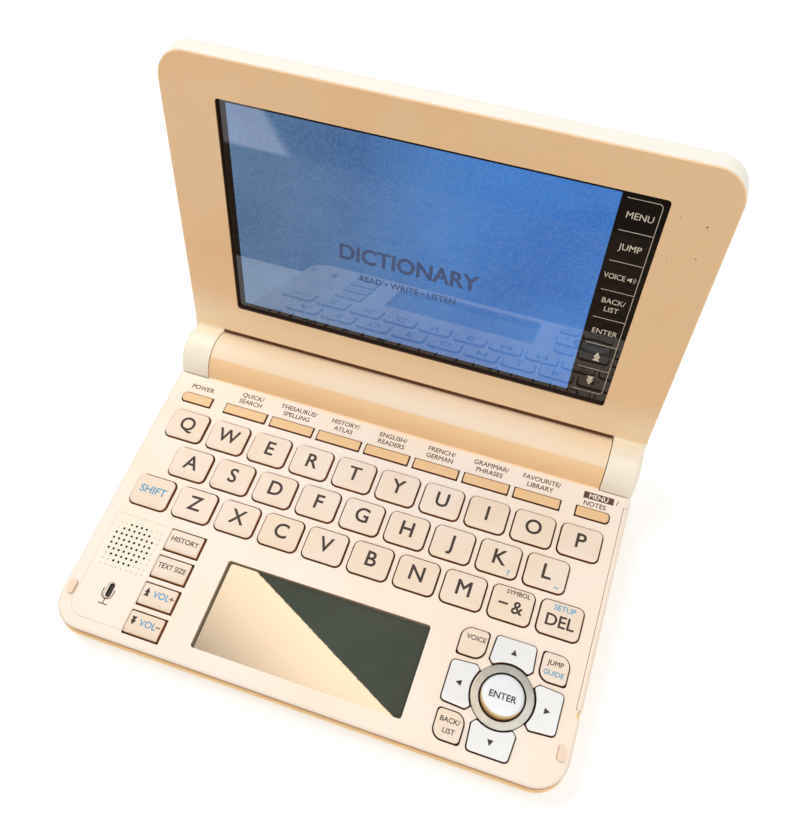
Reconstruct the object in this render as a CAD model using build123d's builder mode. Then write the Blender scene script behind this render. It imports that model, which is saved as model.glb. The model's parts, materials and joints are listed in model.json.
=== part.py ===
from build123d import *
import math
import os

# Pocket electronic dictionary: a keyboard case with a battery barrel along its rear edge, and a
# screen lid that turns about the barrel's axis.  Three planes carry the whole model:
#   base     the keyboard case: x to the right, y from the front edge to the rear, z up from the
#            underside.  It leans forward a little, because the barrel hangs below the underside.
#   lid      the open lid: x to the right, y from the hinge axis to the lid's top edge, z towards
#            the user, with the hinge axis at its origin.
#   section  the hinge axis end on: x to the rear and y up in the base's directions.
os.makedirs("parts", exist_ok=True)

# ---- Case ---------------------------------------------------------------------------------------
case_width = 148.0
case_height = 7.8  # underside to deck
case_corner = 9.0  # front corners, seen from above
case_wall = 1.5
deck_thickness = 1.5
floor_thickness = 1.2
case_parting = 3.9  # height of the joint between the two case halves
case_ledge = 0.7  # how far the lower half stands out along the front
underside_draft = 18.0  # degrees that the lower half's sides lean inwards
deck_edge_round = 1.1
underside_edge_chamfer = 0.6

# ---- Hinge and battery barrel -------------------------------------------------------------------
hinge_y = 95.9  # hinge axis behind the front edge
hinge_z = 5.5  # hinge axis above the underside
open_angle = 107.3  # lid to deck, as it stands open
barrel_radius = 9.25
barrel_wall = 1.2
barrel_end_wall = 2.4
knuckle_width = 10.0  # room for each knuckle at the end of the barrel
knuckle_play = 0.25  # between a knuckle's inner face and the barrel's end
knuckle_clearance = 0.3  # between a knuckle and the case around it
pin_radius = 2.5
pin_clearance = 0.05
pin_in_barrel = 6.0
pin_in_knuckle = 7.0
pin_end_gap = 0.4
pin_collar_radius = 4.0
pin_collar_thickness = 1.2

# ---- Lid ----------------------------------------------------------------------------------------
lid_gap = 1.0  # bezel above the deck when the lid is closed
lid_thickness = 6.3
lid_corner = 8.5
lid_parting = 3.6  # depth of the joint between the two lid halves, behind the bezel face
lid_flare = 1.4  # how much further the lid's top edge reaches at its back
flare_depth = 5.6  # depth behind the bezel face at which it has reached that far
lid_wall = 1.4
bezel_thickness = 1.2
back_thickness = 1.2
bezel_edge_chamfer = 0.4
back_edge_round = 1.8  # also rounds the outer ends of the knuckles
bezel_gap = 1.4  # between the bezel's lower edge and the barrel
lip_start = 6.0  # lower edge of the lid's back, which laps over the barrel
lip_clearance = 0.5
window_width = 116.5
window_low = 20.0
window_high = 85.7
window_corner = 1.0
screen_margin = 2.2  # screen module beyond the window on each side
screen_thickness = 3.1
seat_gap = 0.05  # face to face seats inside the housings

# ---- Keys ---------------------------------------------------------------------------------------
key_clearance = 0.2
key_collar = 0.35  # collar beyond the hole, under the deck
key_collar_thickness = 0.65
key_travel = 0.8
letter_pitch = 13.9
letter_row_pitch = 11.9
letter_gap = 1.7  # between neighbours in a row
letter_depth = 10.0
letter_corner = 1.9
letter_height = 0.8  # above the deck
top_row_y = 68.3
second_row_shift = 0.5  # in letter pitches

function_y = 78.0
function_depth = 3.4
function_height = 0.5
function_pitch = 15.75
function_width = 14.1
end_key_x = 64.0
end_key_width = 10.0

side_key_x = -46.2
side_key_y = 7.3
side_key_pitch = 8.42
side_key_width = 10.8
side_key_depth = 6.7

pad_side_margin = 0.95  # between the right arrow key and the stylus's groove wall
pad_front_margin = 4.3  # between the down arrow key and the case's front edge
ring_inner = 6.2
ring_width = 2.4
ring_height = 0.7
ring_bevel = 0.5
ring_clearance = 0.1
ring_seat = 1.1  # how far the centre key's collar reaches under the ring
enter_height = 0.8
enter_edge_chamfer = 0.5
arrow_length = 7.0  # beyond the ring
arrow_half_width = 5.6
arrow_inner_half_width = 6.1
arrow_corner = 1.2
leaf_gap = 2.0  # between the ring and a leaf key's inner corner, before its rounding
leaf_width = 7.7
leaf_depth = 7.9
leaf_round = 3.0
leaf_tight = 0.9

# ---- Insets, stylus, feet and inner pieces ------------------------------------------------------
writing_x = -1.3
writing_y = 19.2
writing_width = 61.2
writing_depth = 26.0
writing_corner = 0.8
writing_margin = 1.2

panel_inset = 4.3  # from the case's side
panel_key_gap = 0.4  # between the panel and the side keys
panel_front = 4.3
panel_rear = 36.0
panel_corner = 5.0
panel_thickness = 0.9
panel_clearance = 0.06
grille_inset = 8.3  # from the panel's left edge
grille_y = 27.5
grille_pitch = 1.64
grille_hole = 0.4
grille_rows = (4, 6, 8, 8, 8, 8, 6, 4)
mic_inset = 9.2  # from the panel's left edge
mic_y = 13.6
mic_width = 1.5
mic_length = 4.2

stylus_front = 23.0
stylus_length = 60.0
stylus_width = 3.3
stylus_top_width = 1.6  # where it shows beside the deck
stylus_shelf = 6.1  # height where the stylus steps in under the deck's edge
stylus_clearance = 0.15
stylus_wall = 1.0
stylus_tip = 9.0
stylus_notch = 2.6

bumper_inset = 2.8  # from the case's side
bumper_y = 11.2
bumper_width = 2.0
bumper_length = 4.2
bumper_height = 0.7
bumper_depth = 1.0

front_foot_inset = 16.0  # from the case's side
front_foot_y = 10.0
front_foot_radius = 4.0
front_foot_drop = 0.8
rear_foot_inset = 4.0  # from the barrel's end
rear_foot_length = 5.0
rear_foot_width = 7.0
rear_foot_drop = 0.5
foot_pocket = 0.6

board_underside = 2.5
board_thickness = 1.1
board_inset = 4.8
mat_press_gap = 0.1  # left between a fully pressed key and the mat
mat_clearance = 0.4  # round whatever stands up through the key mat
speaker_radius = 7.5
speaker_dish = 1.2
mic_radius = 2.6
jack_y = 56.4
jack_bore = 1.8
jack_depth = 7.0
jack_length = 8.0
jack_width = 6.0
jack_height = 4.6
screw_places = ((-36.3, 8.0), (32.9, 8.0), (-30.0, 83.3), (30.0, 83.3))
screw_radius = 0.9
screw_head_radius = 1.8
screw_head_height = 0.7
screw_recess = 0.2
screw_length = 4.6
screw_clearance = 0.1
boss_radius = 2.1
post_places = ((-60.0, 50.4), (-20.0, 50.4), (20.0, 50.4), (60.0, 50.4), (0.0, 38.0))
post_width = 3.0

cell_radius = 7.25
cell_length = 49.5
cell_nub = 1.0
cell_nub_radius = 2.75
cell_gap = 0.3
contact_thickness = 0.6
contact_radius = 5.5
partition_thickness = 1.2
door_length = 102.0
door_start = -118.0  # degrees about the hinge axis, 0 to the rear and -90 straight down
door_end = -28.0
door_clearance = 0.15
door_groove = 0.3
door_grooves = (-84.0, -78.0, -72.0, -66.0)
door_groove_length = 14.0

# ---- Derived sizes and planes -------------------------------------------------------------------
deck = case_height
barrel_length = case_width - 2 * knuckle_width
lid_reach = hinge_y  # hinge axis to the lid's top edge, so that the closed lid ends over the front edge
deck_underside = deck - deck_thickness
deck_rear = hinge_y - barrel_radius
bezel_depth = deck + lid_gap - hinge_z  # bezel face behind the hinge axis, in the lid's plane
back_depth = bezel_depth + lid_thickness
knuckle_radius = back_depth  # the lid's back runs straight into its knuckles
bezel_start = math.sqrt((barrel_radius + bezel_gap) ** 2 - bezel_depth**2)  # from the hinge axis
knuckle_block = bezel_start + lid_wall  # how far up the lid the knuckles' roots reach
board_top = board_underside + board_thickness
collar_top = deck_underside - seat_gap
collar_bottom = collar_top - key_collar_thickness
mat_top = collar_bottom - key_travel - mat_press_gap
barrel_bore = barrel_radius - barrel_wall
barrel_root = deck_rear + barrel_wall + 1  # rear face of the upper half's deck, inside the barrel
draft_inset = case_parting * math.tan(math.radians(underside_draft))
cell_half_row = cell_length + cell_nub
partition_x = cell_half_row + cell_gap + contact_thickness + seat_gap
screw_tip = screw_recess + screw_head_height + screw_length
letter_width = letter_pitch - letter_gap
stylus_inner_x = case_width / 2 - stylus_width
stylus_seam_x = case_width / 2 - stylus_top_width
stylus_wall_x = stylus_inner_x - stylus_clearance - stylus_wall
bumper_x = case_width / 2 - bumper_inset
front_foot_x = case_width / 2 - front_foot_inset
rear_foot_x = barrel_length / 2 - rear_foot_inset
panel_left = panel_inset - case_width / 2
panel_right = side_key_x - side_key_width / 2 - panel_key_gap
grille_x = panel_left + grille_inset
mic_x = panel_left + mic_inset
ring_outer = ring_inner + ring_width
ring_counterbore = ring_inner + ring_seat
arrow_reach = ring_outer + arrow_length
arrow_shoulder = ring_outer  # where an arrow key's sides turn in to the ring
leaf_offset = (ring_outer + leaf_gap) / math.sqrt(2) + leaf_width / 2
pad_x = stylus_wall_x - pad_side_margin - arrow_reach
pad_y = pad_front_margin + arrow_reach

contact_rise = (hinge_z - barrel_radius - rear_foot_drop) - (-front_foot_drop)
tilt = math.atan2(-contact_rise, hinge_y - front_foot_y)
lean = math.radians(open_angle - 90) - tilt

front_reach = min(
    -case_parting * math.sin(tilt),
    case_ledge + deck_edge_round * (math.cos(tilt) - 1) - (deck - deck_edge_round) * math.sin(tilt),
)
rear_reach = (
    hinge_y * math.cos(tilt)
    - hinge_z * math.sin(tilt)
    + (lid_reach + lid_flare - back_edge_round) * math.sin(lean)
    + (back_depth - back_edge_round) * math.cos(lean)
    + back_edge_round
)
base_origin = (
    0,
    -(front_reach + rear_reach) / 2,
    front_foot_drop * math.cos(tilt) - front_foot_y * math.sin(tilt),
)
base = Plane(origin=base_origin, x_dir=(1, 0, 0), z_dir=(0, -math.sin(tilt), math.cos(tilt)))
hinge_point = base.from_local_coords((0, hinge_y, hinge_z))
lid = Plane(origin=hinge_point, x_dir=(1, 0, 0), z_dir=(0, -math.cos(lean), math.sin(lean)))
section = Plane(origin=hinge_point, x_dir=base.y_dir, z_dir=(1, 0, 0))
lid_section = Plane(origin=hinge_point, x_dir=lid.y_dir, z_dir=(1, 0, 0))
upwards = Axis(base.origin, base.z_dir)
rearwards = Axis(base.origin, base.y_dir)
lid_upwards = Axis(lid.origin, lid.y_dir)
lid_outwards = Axis(lid.origin, lid.z_dir)
sideways = Axis(base.origin, (1, 0, 0))
jack_z = case_parting
jack_mouth = base.from_local_coords((-case_width / 2, jack_y, jack_z))


def case_outline(inset, rear, ledge=0.0):
    """The case from above, its walls moved inwards by inset and its rear edge at rear."""
    front = ledge + inset
    with BuildSketch() as shape:
        with Locations((0, (front + rear) / 2)):
            Rectangle(case_width - 2 * inset, rear - front)
        fillet(shape.vertices().group_by(Axis.Y)[0], case_corner - inset)
    return shape.sketch


def lid_outline(inset, low, depth=0.0):
    """The lid from the front at a depth behind the bezel face, its walls moved inwards by inset."""
    high = lid_reach + lid_flare * depth / flare_depth - inset
    with BuildSketch() as shape:
        with Locations((0, (low + high) / 2)):
            Rectangle(case_width - 2 * inset, high - low)
        fillet(shape.vertices().group_by(Axis.Y)[-1], lid_corner - inset)
    return shape.sketch


def wedge(start, end, reach=40):
    """A triangle with its tip on the hinge axis, between two angles in degrees."""
    corners = [(reach * math.cos(math.radians(a)), reach * math.sin(math.radians(a))) for a in (start, end)]
    with BuildSketch() as shape:
        Polygon((0, 0), *corners, align=None)
    return shape.sketch


# ---- Key outlines: each is drawn round its own centre, grown by grow on every side --------------
def plain_key(key_width, key_depth, corner=0):
    """A key with a rectangular cap, its corners rounded or left square."""

    def outline(grow, collar=False):
        with BuildSketch() as shape:
            Rectangle(key_width + 2 * grow, key_depth + 2 * grow)
            if corner and not collar:
                fillet(shape.vertices(), corner + grow)
        return shape.sketch

    return outline


def end_key(side):
    """A key at the end of the function row, with its outer corners rounded off."""

    def outline(grow, collar=False):
        with BuildSketch() as shape:
            Rectangle(end_key_width + 2 * grow, function_depth + 2 * grow)
            if not collar:
                outer = shape.vertices().group_by(Axis.X)[-1 if side > 0 else 0]
                fillet(outer, function_depth / 2 - 0.3)
        return shape.sketch

    return outline


def leaf_key(across, along):
    """A small key beside the pad: two opposite corners are wide and two are tight."""

    def outline(grow, collar=False):
        with BuildSketch() as shape:
            Rectangle(leaf_width + 2 * grow, leaf_depth + 2 * grow)
            wide = [v for v in shape.vertices() if v.X * across * v.Y * along > 0]
            tight = [v for v in shape.vertices() if v not in wide]
            if not collar:
                fillet(wide, leaf_round + grow)
                fillet(shape.vertices().filter_by(lambda v: v in tight), leaf_tight + grow)
        return shape.sketch

    return outline


def arrow_key(turn):
    """An arrow key that reaches in to the silver ring; its outline is round the pad's centre."""

    def outline(grow, collar=False):
        inner = ring_inner + 0.4
        with BuildSketch() as upright:
            with BuildLine():
                Polyline(
                    (0, arrow_reach + grow),
                    (arrow_half_width + grow, arrow_reach + grow),
                    (arrow_inner_half_width + grow, arrow_shoulder),
                    (arrow_inner_half_width + grow - arrow_shoulder + inner, inner),
                    (0, inner),
                )
                mirror(about=Plane.YZ)
            make_face()
            if not collar:
                fillet(upright.vertices().group_by(Axis.Y)[-1], arrow_corner + grow)
        with BuildSketch() as shape:
            add(upright.sketch, rotation=turn)
            if collar or grow == 0:
                Circle(ring_outer + key_clearance, mode=Mode.SUBTRACT)
        return shape.sketch

    return outline


# ---- Where every key is -------------------------------------------------------------------------
letter = plain_key(letter_width, letter_depth, letter_corner)
function = plain_key(function_width, function_depth)
side = plain_key(side_key_width, side_key_depth)


def letter_row(names, row, shift):
    """One row of letter keys, from the left, centred on the case but for a shift in pitches."""
    start = -4.5 + shift
    y = top_row_y - row * letter_row_pitch
    return [
        (f"key_{name}", letter, (start + i) * letter_pitch, y, letter_height)
        for i, name in enumerate(names)
    ]


keys = letter_row("qwertyuiop", 0, 0)
keys += letter_row("asdfghjkl", 1, second_row_shift)
keys += letter_row(["shift", *"zxcvbnm", "symbol", "delete"], 2, 0)
keys += [
    ("key_power", end_key(-1), -end_key_x, function_y, function_height),
    ("key_menu", end_key(1), end_key_x, function_y, function_height),
]
side_names = ("volume_down", "volume_up", "text_size", "history")
keys += [
    (f"key_{name}", side, side_key_x, side_key_y + i * side_key_pitch, letter_height)
    for i, name in enumerate(side_names)
]
keys += [
    (f"key_{name}", arrow_key(turn), pad_x, pad_y, letter_height)
    for name, turn in (("up", 0), ("left", 90), ("down", 180), ("right", 270))
]
keys += [
    (
        f"key_{name}",
        leaf_key(across, along),
        pad_x + across * leaf_offset,
        pad_y + along * leaf_offset,
        letter_height,
    )
    for name, across, along in (("voice", -1, 1), ("jump", 1, 1), ("back", -1, -1))
]
book_places = [(i * function_pitch, function_y) for i in range(-3, 4)]

# The barrel's bore in three rooms: the batteries between two partitions, and a hinge pin at each end.
barrel_inner_end = barrel_length / 2 - barrel_end_wall
partition_outer = partition_x + partition_thickness
barrel_rooms = (
    (-partition_x, 2 * partition_x),
    (-barrel_inner_end, barrel_inner_end - partition_outer),
    (partition_outer, barrel_inner_end - partition_outer),
)

# ---- Upper case half: deck, key holes, barrel's upper half --------------------------------------
with BuildPart() as top_case:
    with BuildSketch(base.offset(case_parting)):
        add(case_outline(0, barrel_root, case_ledge))
    extrude(amount=deck - case_parting)
    rim = top_case.faces().sort_by(upwards)[-1].edges().sort_by(rearwards)[:-1]
    fillet(rim, deck_edge_round)
    with BuildSketch(base.offset(case_parting)):
        add(case_outline(case_wall, deck_rear - case_wall, case_ledge))
    extrude(amount=deck_underside - case_parting, mode=Mode.SUBTRACT)
    with BuildSketch(section.offset(-barrel_length / 2)):
        Circle(barrel_radius)
        with Locations((0, barrel_radius)):
            Rectangle(2 * barrel_radius, 2 * barrel_radius, mode=Mode.INTERSECT)
    extrude(amount=barrel_length)
    for start, length in barrel_rooms:
        with BuildSketch(section.offset(start)):
            Circle(barrel_bore)
        extrude(amount=length, mode=Mode.SUBTRACT)
    for end in (-1, 1):
        with BuildSketch(section.offset(end * barrel_length / 2)):
            Circle(knuckle_radius + knuckle_clearance)
        extrude(amount=end * case_width, mode=Mode.SUBTRACT)
    with BuildSketch(section.offset(-barrel_length / 2)):
        Circle(pin_radius + pin_clearance)
    extrude(amount=barrel_length, mode=Mode.SUBTRACT)
    with BuildSketch(base.offset(deck_underside)):
        for name, outline, x, y, height in keys:
            with Locations((x, y)):
                add(outline(key_clearance))
        with Locations(*book_places):
            add(function(key_clearance))
        with Locations((pad_x, pad_y)):
            Circle(ring_outer + ring_clearance)
        with Locations((writing_x, writing_y)):
            RectangleRounded(writing_width, writing_depth, writing_corner)
    extrude(amount=case_height, mode=Mode.SUBTRACT)
    with BuildSketch(base.offset(deck - panel_thickness)) as pocket:
        with Locations(((panel_left + panel_right) / 2, (panel_front + panel_rear) / 2)):
            Rectangle(panel_right - panel_left, panel_rear - panel_front)
        fillet(pocket.vertices().group_by(Axis.X)[0].sort_by(Axis.Y)[0], panel_corner)
    extrude(amount=case_height, mode=Mode.SUBTRACT)
    with BuildSketch(base.offset(deck_underside)):
        with Locations((grille_x, grille_y)):
            RectangleRounded(9 * grille_pitch, 9 * grille_pitch, grille_pitch)
        with Locations((mic_x, mic_y)):
            Rectangle(2 * mic_width, mic_length)
    extrude(amount=case_height, mode=Mode.SUBTRACT)
    for place in screw_places:
        with BuildSketch(base.offset(case_parting)):
            with Locations(place):
                Circle(boss_radius)
        extrude(amount=deck_underside - case_parting)
        with BuildSketch(base.offset(case_parting)):
            with Locations(place):
                Circle(screw_radius + screw_clearance)
        extrude(amount=screw_tip + screw_clearance - case_parting, mode=Mode.SUBTRACT)
    with BuildSketch(base.offset(case_parting)):
        with Locations(((stylus_wall_x + case_width / 2) / 2, stylus_front + stylus_length / 2)):
            Rectangle(case_width / 2 - stylus_wall_x, stylus_length + 2 * case_wall)
    extrude(amount=deck_underside - case_parting)
    with BuildSketch(base.offset(case_parting)):
        with Locations((case_width / 2, stylus_front + stylus_length / 2)):
            Rectangle(
                2 * (case_width / 2 - stylus_inner_x + stylus_clearance),
                stylus_length + 2 * stylus_clearance,
            )
    extrude(amount=stylus_shelf + stylus_clearance - case_parting, mode=Mode.SUBTRACT)
    with BuildSketch(base.offset(case_parting)):
        with Locations((case_width / 2, stylus_front + stylus_length / 2)):
            Rectangle(
                2 * (case_width / 2 - stylus_seam_x + stylus_clearance),
                stylus_length + 2 * stylus_clearance,
            )
        with Locations((case_width / 2, stylus_front - stylus_notch / 2)):
            Circle(stylus_notch / 2)
    extrude(amount=case_height, mode=Mode.SUBTRACT)
    with BuildSketch(base.offset(deck - bumper_depth)):
        with Locations((-bumper_x, bumper_y), (bumper_x, bumper_y)):
            RectangleRounded(bumper_width, bumper_length, bumper_width / 2 - 0.1)
    extrude(amount=case_height, mode=Mode.SUBTRACT)
    with BuildSketch(Plane(jack_mouth, base.y_dir, (1, 0, 0))):
        Circle(jack_bore + 0.4)
    extrude(amount=2 * case_wall, mode=Mode.SUBTRACT)
top_case.part.label = "top_case"
export_step(top_case.part, "parts/top_case.step")

# ---- Lower case half: floor, drafted sides, barrel's lower half with the battery opening --------
with BuildPart() as bottom_case:
    with BuildSketch(base.offset(case_parting)):
        add(case_outline(0, deck_rear + barrel_radius / 2))
    extrude(amount=-case_parting, taper=underside_draft)
    rim = bottom_case.faces().sort_by(upwards)[0].edges().sort_by(rearwards)[:-1]
    chamfer(rim, underside_edge_chamfer)
    with BuildSketch(base.offset(floor_thickness)):
        add(case_outline(case_wall + draft_inset, deck_rear - case_wall))
    extrude(amount=case_height, mode=Mode.SUBTRACT)
    with BuildSketch(section.offset(-barrel_length / 2)):
        Circle(barrel_radius)
        with Locations((0, -barrel_radius)):
            Rectangle(2 * barrel_radius, 2 * barrel_radius, mode=Mode.INTERSECT)
    extrude(amount=barrel_length)
    for start, length in barrel_rooms:
        with BuildSketch(section.offset(start)):
            Circle(barrel_bore)
        extrude(amount=length, mode=Mode.SUBTRACT)
    with BuildSketch(base.offset(case_parting)):
        with Locations((0, barrel_root / 2)):
            Rectangle(2 * case_width, barrel_root)
    extrude(amount=case_height, mode=Mode.SUBTRACT)
    for end in (-1, 1):
        with BuildSketch(section.offset(end * barrel_length / 2)):
            Circle(knuckle_radius + knuckle_clearance)
        extrude(amount=end * case_width, mode=Mode.SUBTRACT)
    with BuildSketch(section.offset(-barrel_length / 2)):
        Circle(pin_radius + pin_clearance)
    extrude(amount=barrel_length, mode=Mode.SUBTRACT)
    door_slack = math.degrees(door_clearance / barrel_radius)
    with BuildSketch(section.offset(-door_length / 2 - door_clearance)):
        add(wedge(door_start - door_slack, door_end + door_slack))
    extrude(amount=door_length + 2 * door_clearance, mode=Mode.SUBTRACT)
    with BuildSketch(base.offset(floor_thickness)):
        with Locations(*screw_places):
            Circle(boss_radius)
    extrude(amount=case_parting - floor_thickness)
    with BuildSketch(base.offset(floor_thickness)):
        with Locations(*post_places):
            Rectangle(post_width, post_width)
    extrude(amount=board_underside - floor_thickness)
    with BuildSketch(base.offset(floor_thickness)):
        shelf_x = case_width / 2 - draft_inset - case_wall
        with Locations(((stylus_wall_x + shelf_x) / 2, stylus_front + stylus_length / 2)):
            Rectangle(shelf_x - stylus_wall_x, stylus_length + 2 * case_wall)
    extrude(amount=case_parting - floor_thickness)
    with BuildSketch(base):
        with Locations(*screw_places):
            Circle(screw_radius + screw_clearance)
    extrude(amount=case_height, mode=Mode.SUBTRACT)
    with BuildSketch(base):
        with Locations(*screw_places):
            Circle(screw_head_radius + screw_clearance)
    extrude(amount=screw_recess + screw_head_height, mode=Mode.SUBTRACT)
    with BuildSketch(base.offset(foot_pocket)):
        with Locations((-front_foot_x, front_foot_y), (front_foot_x, front_foot_y)):
            Circle(front_foot_radius + seat_gap)
    extrude(amount=-case_height, mode=Mode.SUBTRACT)
    with BuildSketch(base.offset(hinge_z - barrel_radius + foot_pocket)):
        with Locations((-rear_foot_x, hinge_y), (rear_foot_x, hinge_y)):
            Rectangle(rear_foot_length + 2 * seat_gap, rear_foot_width + 2 * seat_gap)
    extrude(amount=-case_height, mode=Mode.SUBTRACT)
    with BuildSketch(Plane(jack_mouth, base.y_dir, (1, 0, 0))):
        Circle(jack_bore + 0.4)
    extrude(amount=2 * case_wall, mode=Mode.SUBTRACT)
bottom_case.part.label = "bottom_case"
export_step(bottom_case.part, "parts/bottom_case.step")

# ---- Battery door and the two cells in line behind it -------------------------------------------
with BuildPart() as battery_door:
    with BuildSketch(section.offset(-door_length / 2)):
        Circle(barrel_radius)
        Circle(barrel_bore + door_clearance, mode=Mode.SUBTRACT)
        add(wedge(door_start, door_end), mode=Mode.INTERSECT)
    extrude(amount=door_length)
    for angle in door_grooves:
        with BuildSketch(section.offset(-door_groove_length / 2)):
            with PolarLocations(barrel_radius, 1, start_angle=angle):
                RegularPolygon(door_groove, 4)
        extrude(amount=door_groove_length, mode=Mode.SUBTRACT)
battery_door.part.label = "battery_door"
export_step(battery_door.part, "parts/battery_door.step")

with BuildPart() as batteries:
    for start in (-cell_half_row, 0):
        with BuildSketch(section.offset(start)):
            Circle(cell_radius)
        extrude(amount=cell_length)
        with BuildSketch(section.offset(start + cell_length)):
            Circle(cell_nub_radius)
        extrude(amount=cell_nub - seat_gap)
batteries.part.label = "batteries"
export_step(batteries.part, "parts/batteries.step")

# ---- Hinge pins: each is held by its collar in the barrel and turns in the lid's knuckle --------
with BuildPart() as hinge_pins:
    for end in (-1, 1):
        with BuildSketch(section.offset(end * (barrel_length / 2 - pin_in_barrel))):
            Circle(pin_radius)
        extrude(amount=end * (pin_in_barrel + knuckle_play + pin_in_knuckle))
        with BuildSketch(section.offset(end * (barrel_inner_end - seat_gap))):
            Circle(pin_collar_radius)
        extrude(amount=-end * pin_collar_thickness)
hinge_pins.part.label = "hinge_pins"
export_step(hinge_pins.part, "parts/hinge_pins.step")

# ---- Lid: front half with the window and the two knuckles ---------------------------------------
with BuildPart() as knuckles:
    knuckle_inner = barrel_length / 2 + knuckle_play
    knuckle_length = case_width / 2 - knuckle_inner
    for end in (-1, 1):
        with BuildSketch(lid_section.offset(end * knuckle_inner)):
            Circle(knuckle_radius)
        extrude(amount=end * knuckle_length)
    fillet(knuckles.edges().group_by(sideways)[0] + knuckles.edges().group_by(sideways)[-1], back_edge_round)
    with BuildSketch(Plane(hinge_point, (1, 0, 0), lid.y_dir)) as roots:
        for end in (-1, 1):
            with Locations((end * (knuckle_inner + knuckle_length / 2), (bezel_depth + back_depth) / 2)):
                Rectangle(knuckle_length, lid_thickness)
        back_corners = roots.vertices().group_by(Axis.Y)[-1].sort_by(Axis.X)
        fillet([back_corners[0], back_corners[-1]], back_edge_round)
    extrude(amount=knuckle_block)

with BuildPart() as lid_bezel:
    for inset, depth in ((bezel_edge_chamfer, 0), (0, bezel_edge_chamfer), (0, lid_parting)):
        with BuildSketch(lid.offset(-bezel_depth - depth)):
            add(lid_outline(inset, bezel_start, depth))
    loft(ruled=True)
    with BuildSketch(lid.offset(-bezel_depth - bezel_thickness)):
        add(lid_outline(lid_wall, knuckle_block))
    extrude(amount=-lid_thickness, mode=Mode.SUBTRACT)
    with BuildSketch(lid.offset(-bezel_depth)):
        with Locations((0, (window_low + window_high) / 2)):
            RectangleRounded(window_width, window_high - window_low, window_corner)
    extrude(amount=-lid_parting, mode=Mode.SUBTRACT)
    add(knuckles.part)
    for end in (-1, 1):
        with BuildSketch(lid_section.offset(end * barrel_length / 2)):
            Circle(pin_radius + pin_clearance)
        extrude(amount=end * (knuckle_play + pin_in_knuckle + pin_end_gap), mode=Mode.SUBTRACT)
lid_bezel.part.label = "lid_bezel"
export_step(lid_bezel.part, "parts/lid_bezel.step")

# ---- Lid: back half, whose lower lip laps over the barrel ---------------------------------------
with BuildPart() as lid_back:
    for depth in (lid_parting, flare_depth):
        with BuildSketch(lid.offset(-bezel_depth - depth)):
            add(lid_outline(0, knuckle_block + seat_gap, depth))
    loft(ruled=True)
    with BuildSketch(lid.offset(-bezel_depth - flare_depth)):
        add(lid_outline(0, knuckle_block + seat_gap, flare_depth))
    extrude(amount=flare_depth - lid_thickness)
    with BuildSketch(lid.offset(-bezel_depth - lid_parting)):
        with Locations((0, (lip_start + knuckle_block) / 2 + seat_gap)):
            Rectangle(barrel_length, knuckle_block - lip_start + 2 * seat_gap)
    extrude(amount=lid_parting - lid_thickness)
    rim = lid_back.faces().sort_by(lid_outwards)[0].edges().group_by(lid_upwards)[-3:]
    fillet([edge for group in rim for edge in group], back_edge_round)
    with BuildSketch(section.offset(-barrel_length / 2)):
        Circle(barrel_radius + lip_clearance)
    extrude(amount=barrel_length, mode=Mode.SUBTRACT)
    with BuildSketch(lid.offset(-bezel_depth - lid_parting)):
        add(lid_outline(lid_wall, knuckle_block + lid_wall))
    extrude(amount=lid_parting + back_thickness - lid_thickness, mode=Mode.SUBTRACT)
lid_back.part.label = "lid_back"
export_step(lid_back.part, "parts/lid_back.step")

with BuildPart() as screen_panel:
    with BuildSketch(lid.offset(-bezel_depth - bezel_thickness - seat_gap)):
        with Locations((0, (window_low + window_high) / 2)):
            Rectangle(window_width + 2 * screen_margin, window_high - window_low + 2 * screen_margin)
    extrude(amount=-screen_thickness)
screen_panel.part.label = "screen_panel"
export_step(screen_panel.part, "parts/screen_panel.step")

# ---- Insets in the deck -------------------------------------------------------------------------
with BuildPart() as speaker_panel:
    with BuildSketch(base.offset(deck - panel_thickness)) as plate:
        with Locations(((panel_left + panel_right) / 2, (panel_front + panel_rear) / 2)):
            Rectangle(
                panel_right - panel_left - 2 * panel_clearance,
                panel_rear - panel_front - 2 * panel_clearance,
            )
        fillet(plate.vertices().group_by(Axis.X)[0].sort_by(Axis.Y)[0], panel_corner - panel_clearance)
        for row, count in enumerate(grille_rows):
            y = grille_y + (len(grille_rows) / 2 - 0.5 - row) * grille_pitch
            with Locations((grille_x, y)):
                with GridLocations(grille_pitch, grille_pitch, count, 1):
                    RegularPolygon(grille_hole, 6, mode=Mode.SUBTRACT)
        with Locations((mic_x, mic_y)):
            SlotOverall(mic_length, mic_width, rotation=90, mode=Mode.SUBTRACT)
    extrude(amount=panel_thickness)
speaker_panel.part.label = "speaker_panel"
export_step(speaker_panel.part, "parts/speaker_panel.step")

with BuildPart() as writing_panel:
    with BuildSketch(base.offset(board_top)):
        with Locations((writing_x, writing_y)):
            Rectangle(writing_width + 2 * writing_margin, writing_depth + 2 * writing_margin)
    extrude(amount=deck_underside - seat_gap - board_top)
writing_panel.part.label = "writing_panel"
export_step(writing_panel.part, "parts/writing_panel.step")

with BuildPart() as pad_ring:
    with BuildSketch(base.offset(mat_top)):
        with Locations((pad_x, pad_y)):
            Circle(ring_outer)
            Circle(ring_inner, mode=Mode.SUBTRACT)
    extrude(amount=deck + ring_height - mat_top)
    chamfer(pad_ring.faces().sort_by(upwards)[-1].edges().filter_by(GeomType.CIRCLE), ring_bevel)
    with BuildSketch(base.offset(mat_top)):
        with Locations((pad_x, pad_y)):
            Circle(ring_counterbore)
    extrude(amount=collar_top - mat_top, mode=Mode.SUBTRACT)
pad_ring.part.label = "pad_ring"
export_step(pad_ring.part, "parts/pad_ring.step")

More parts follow.
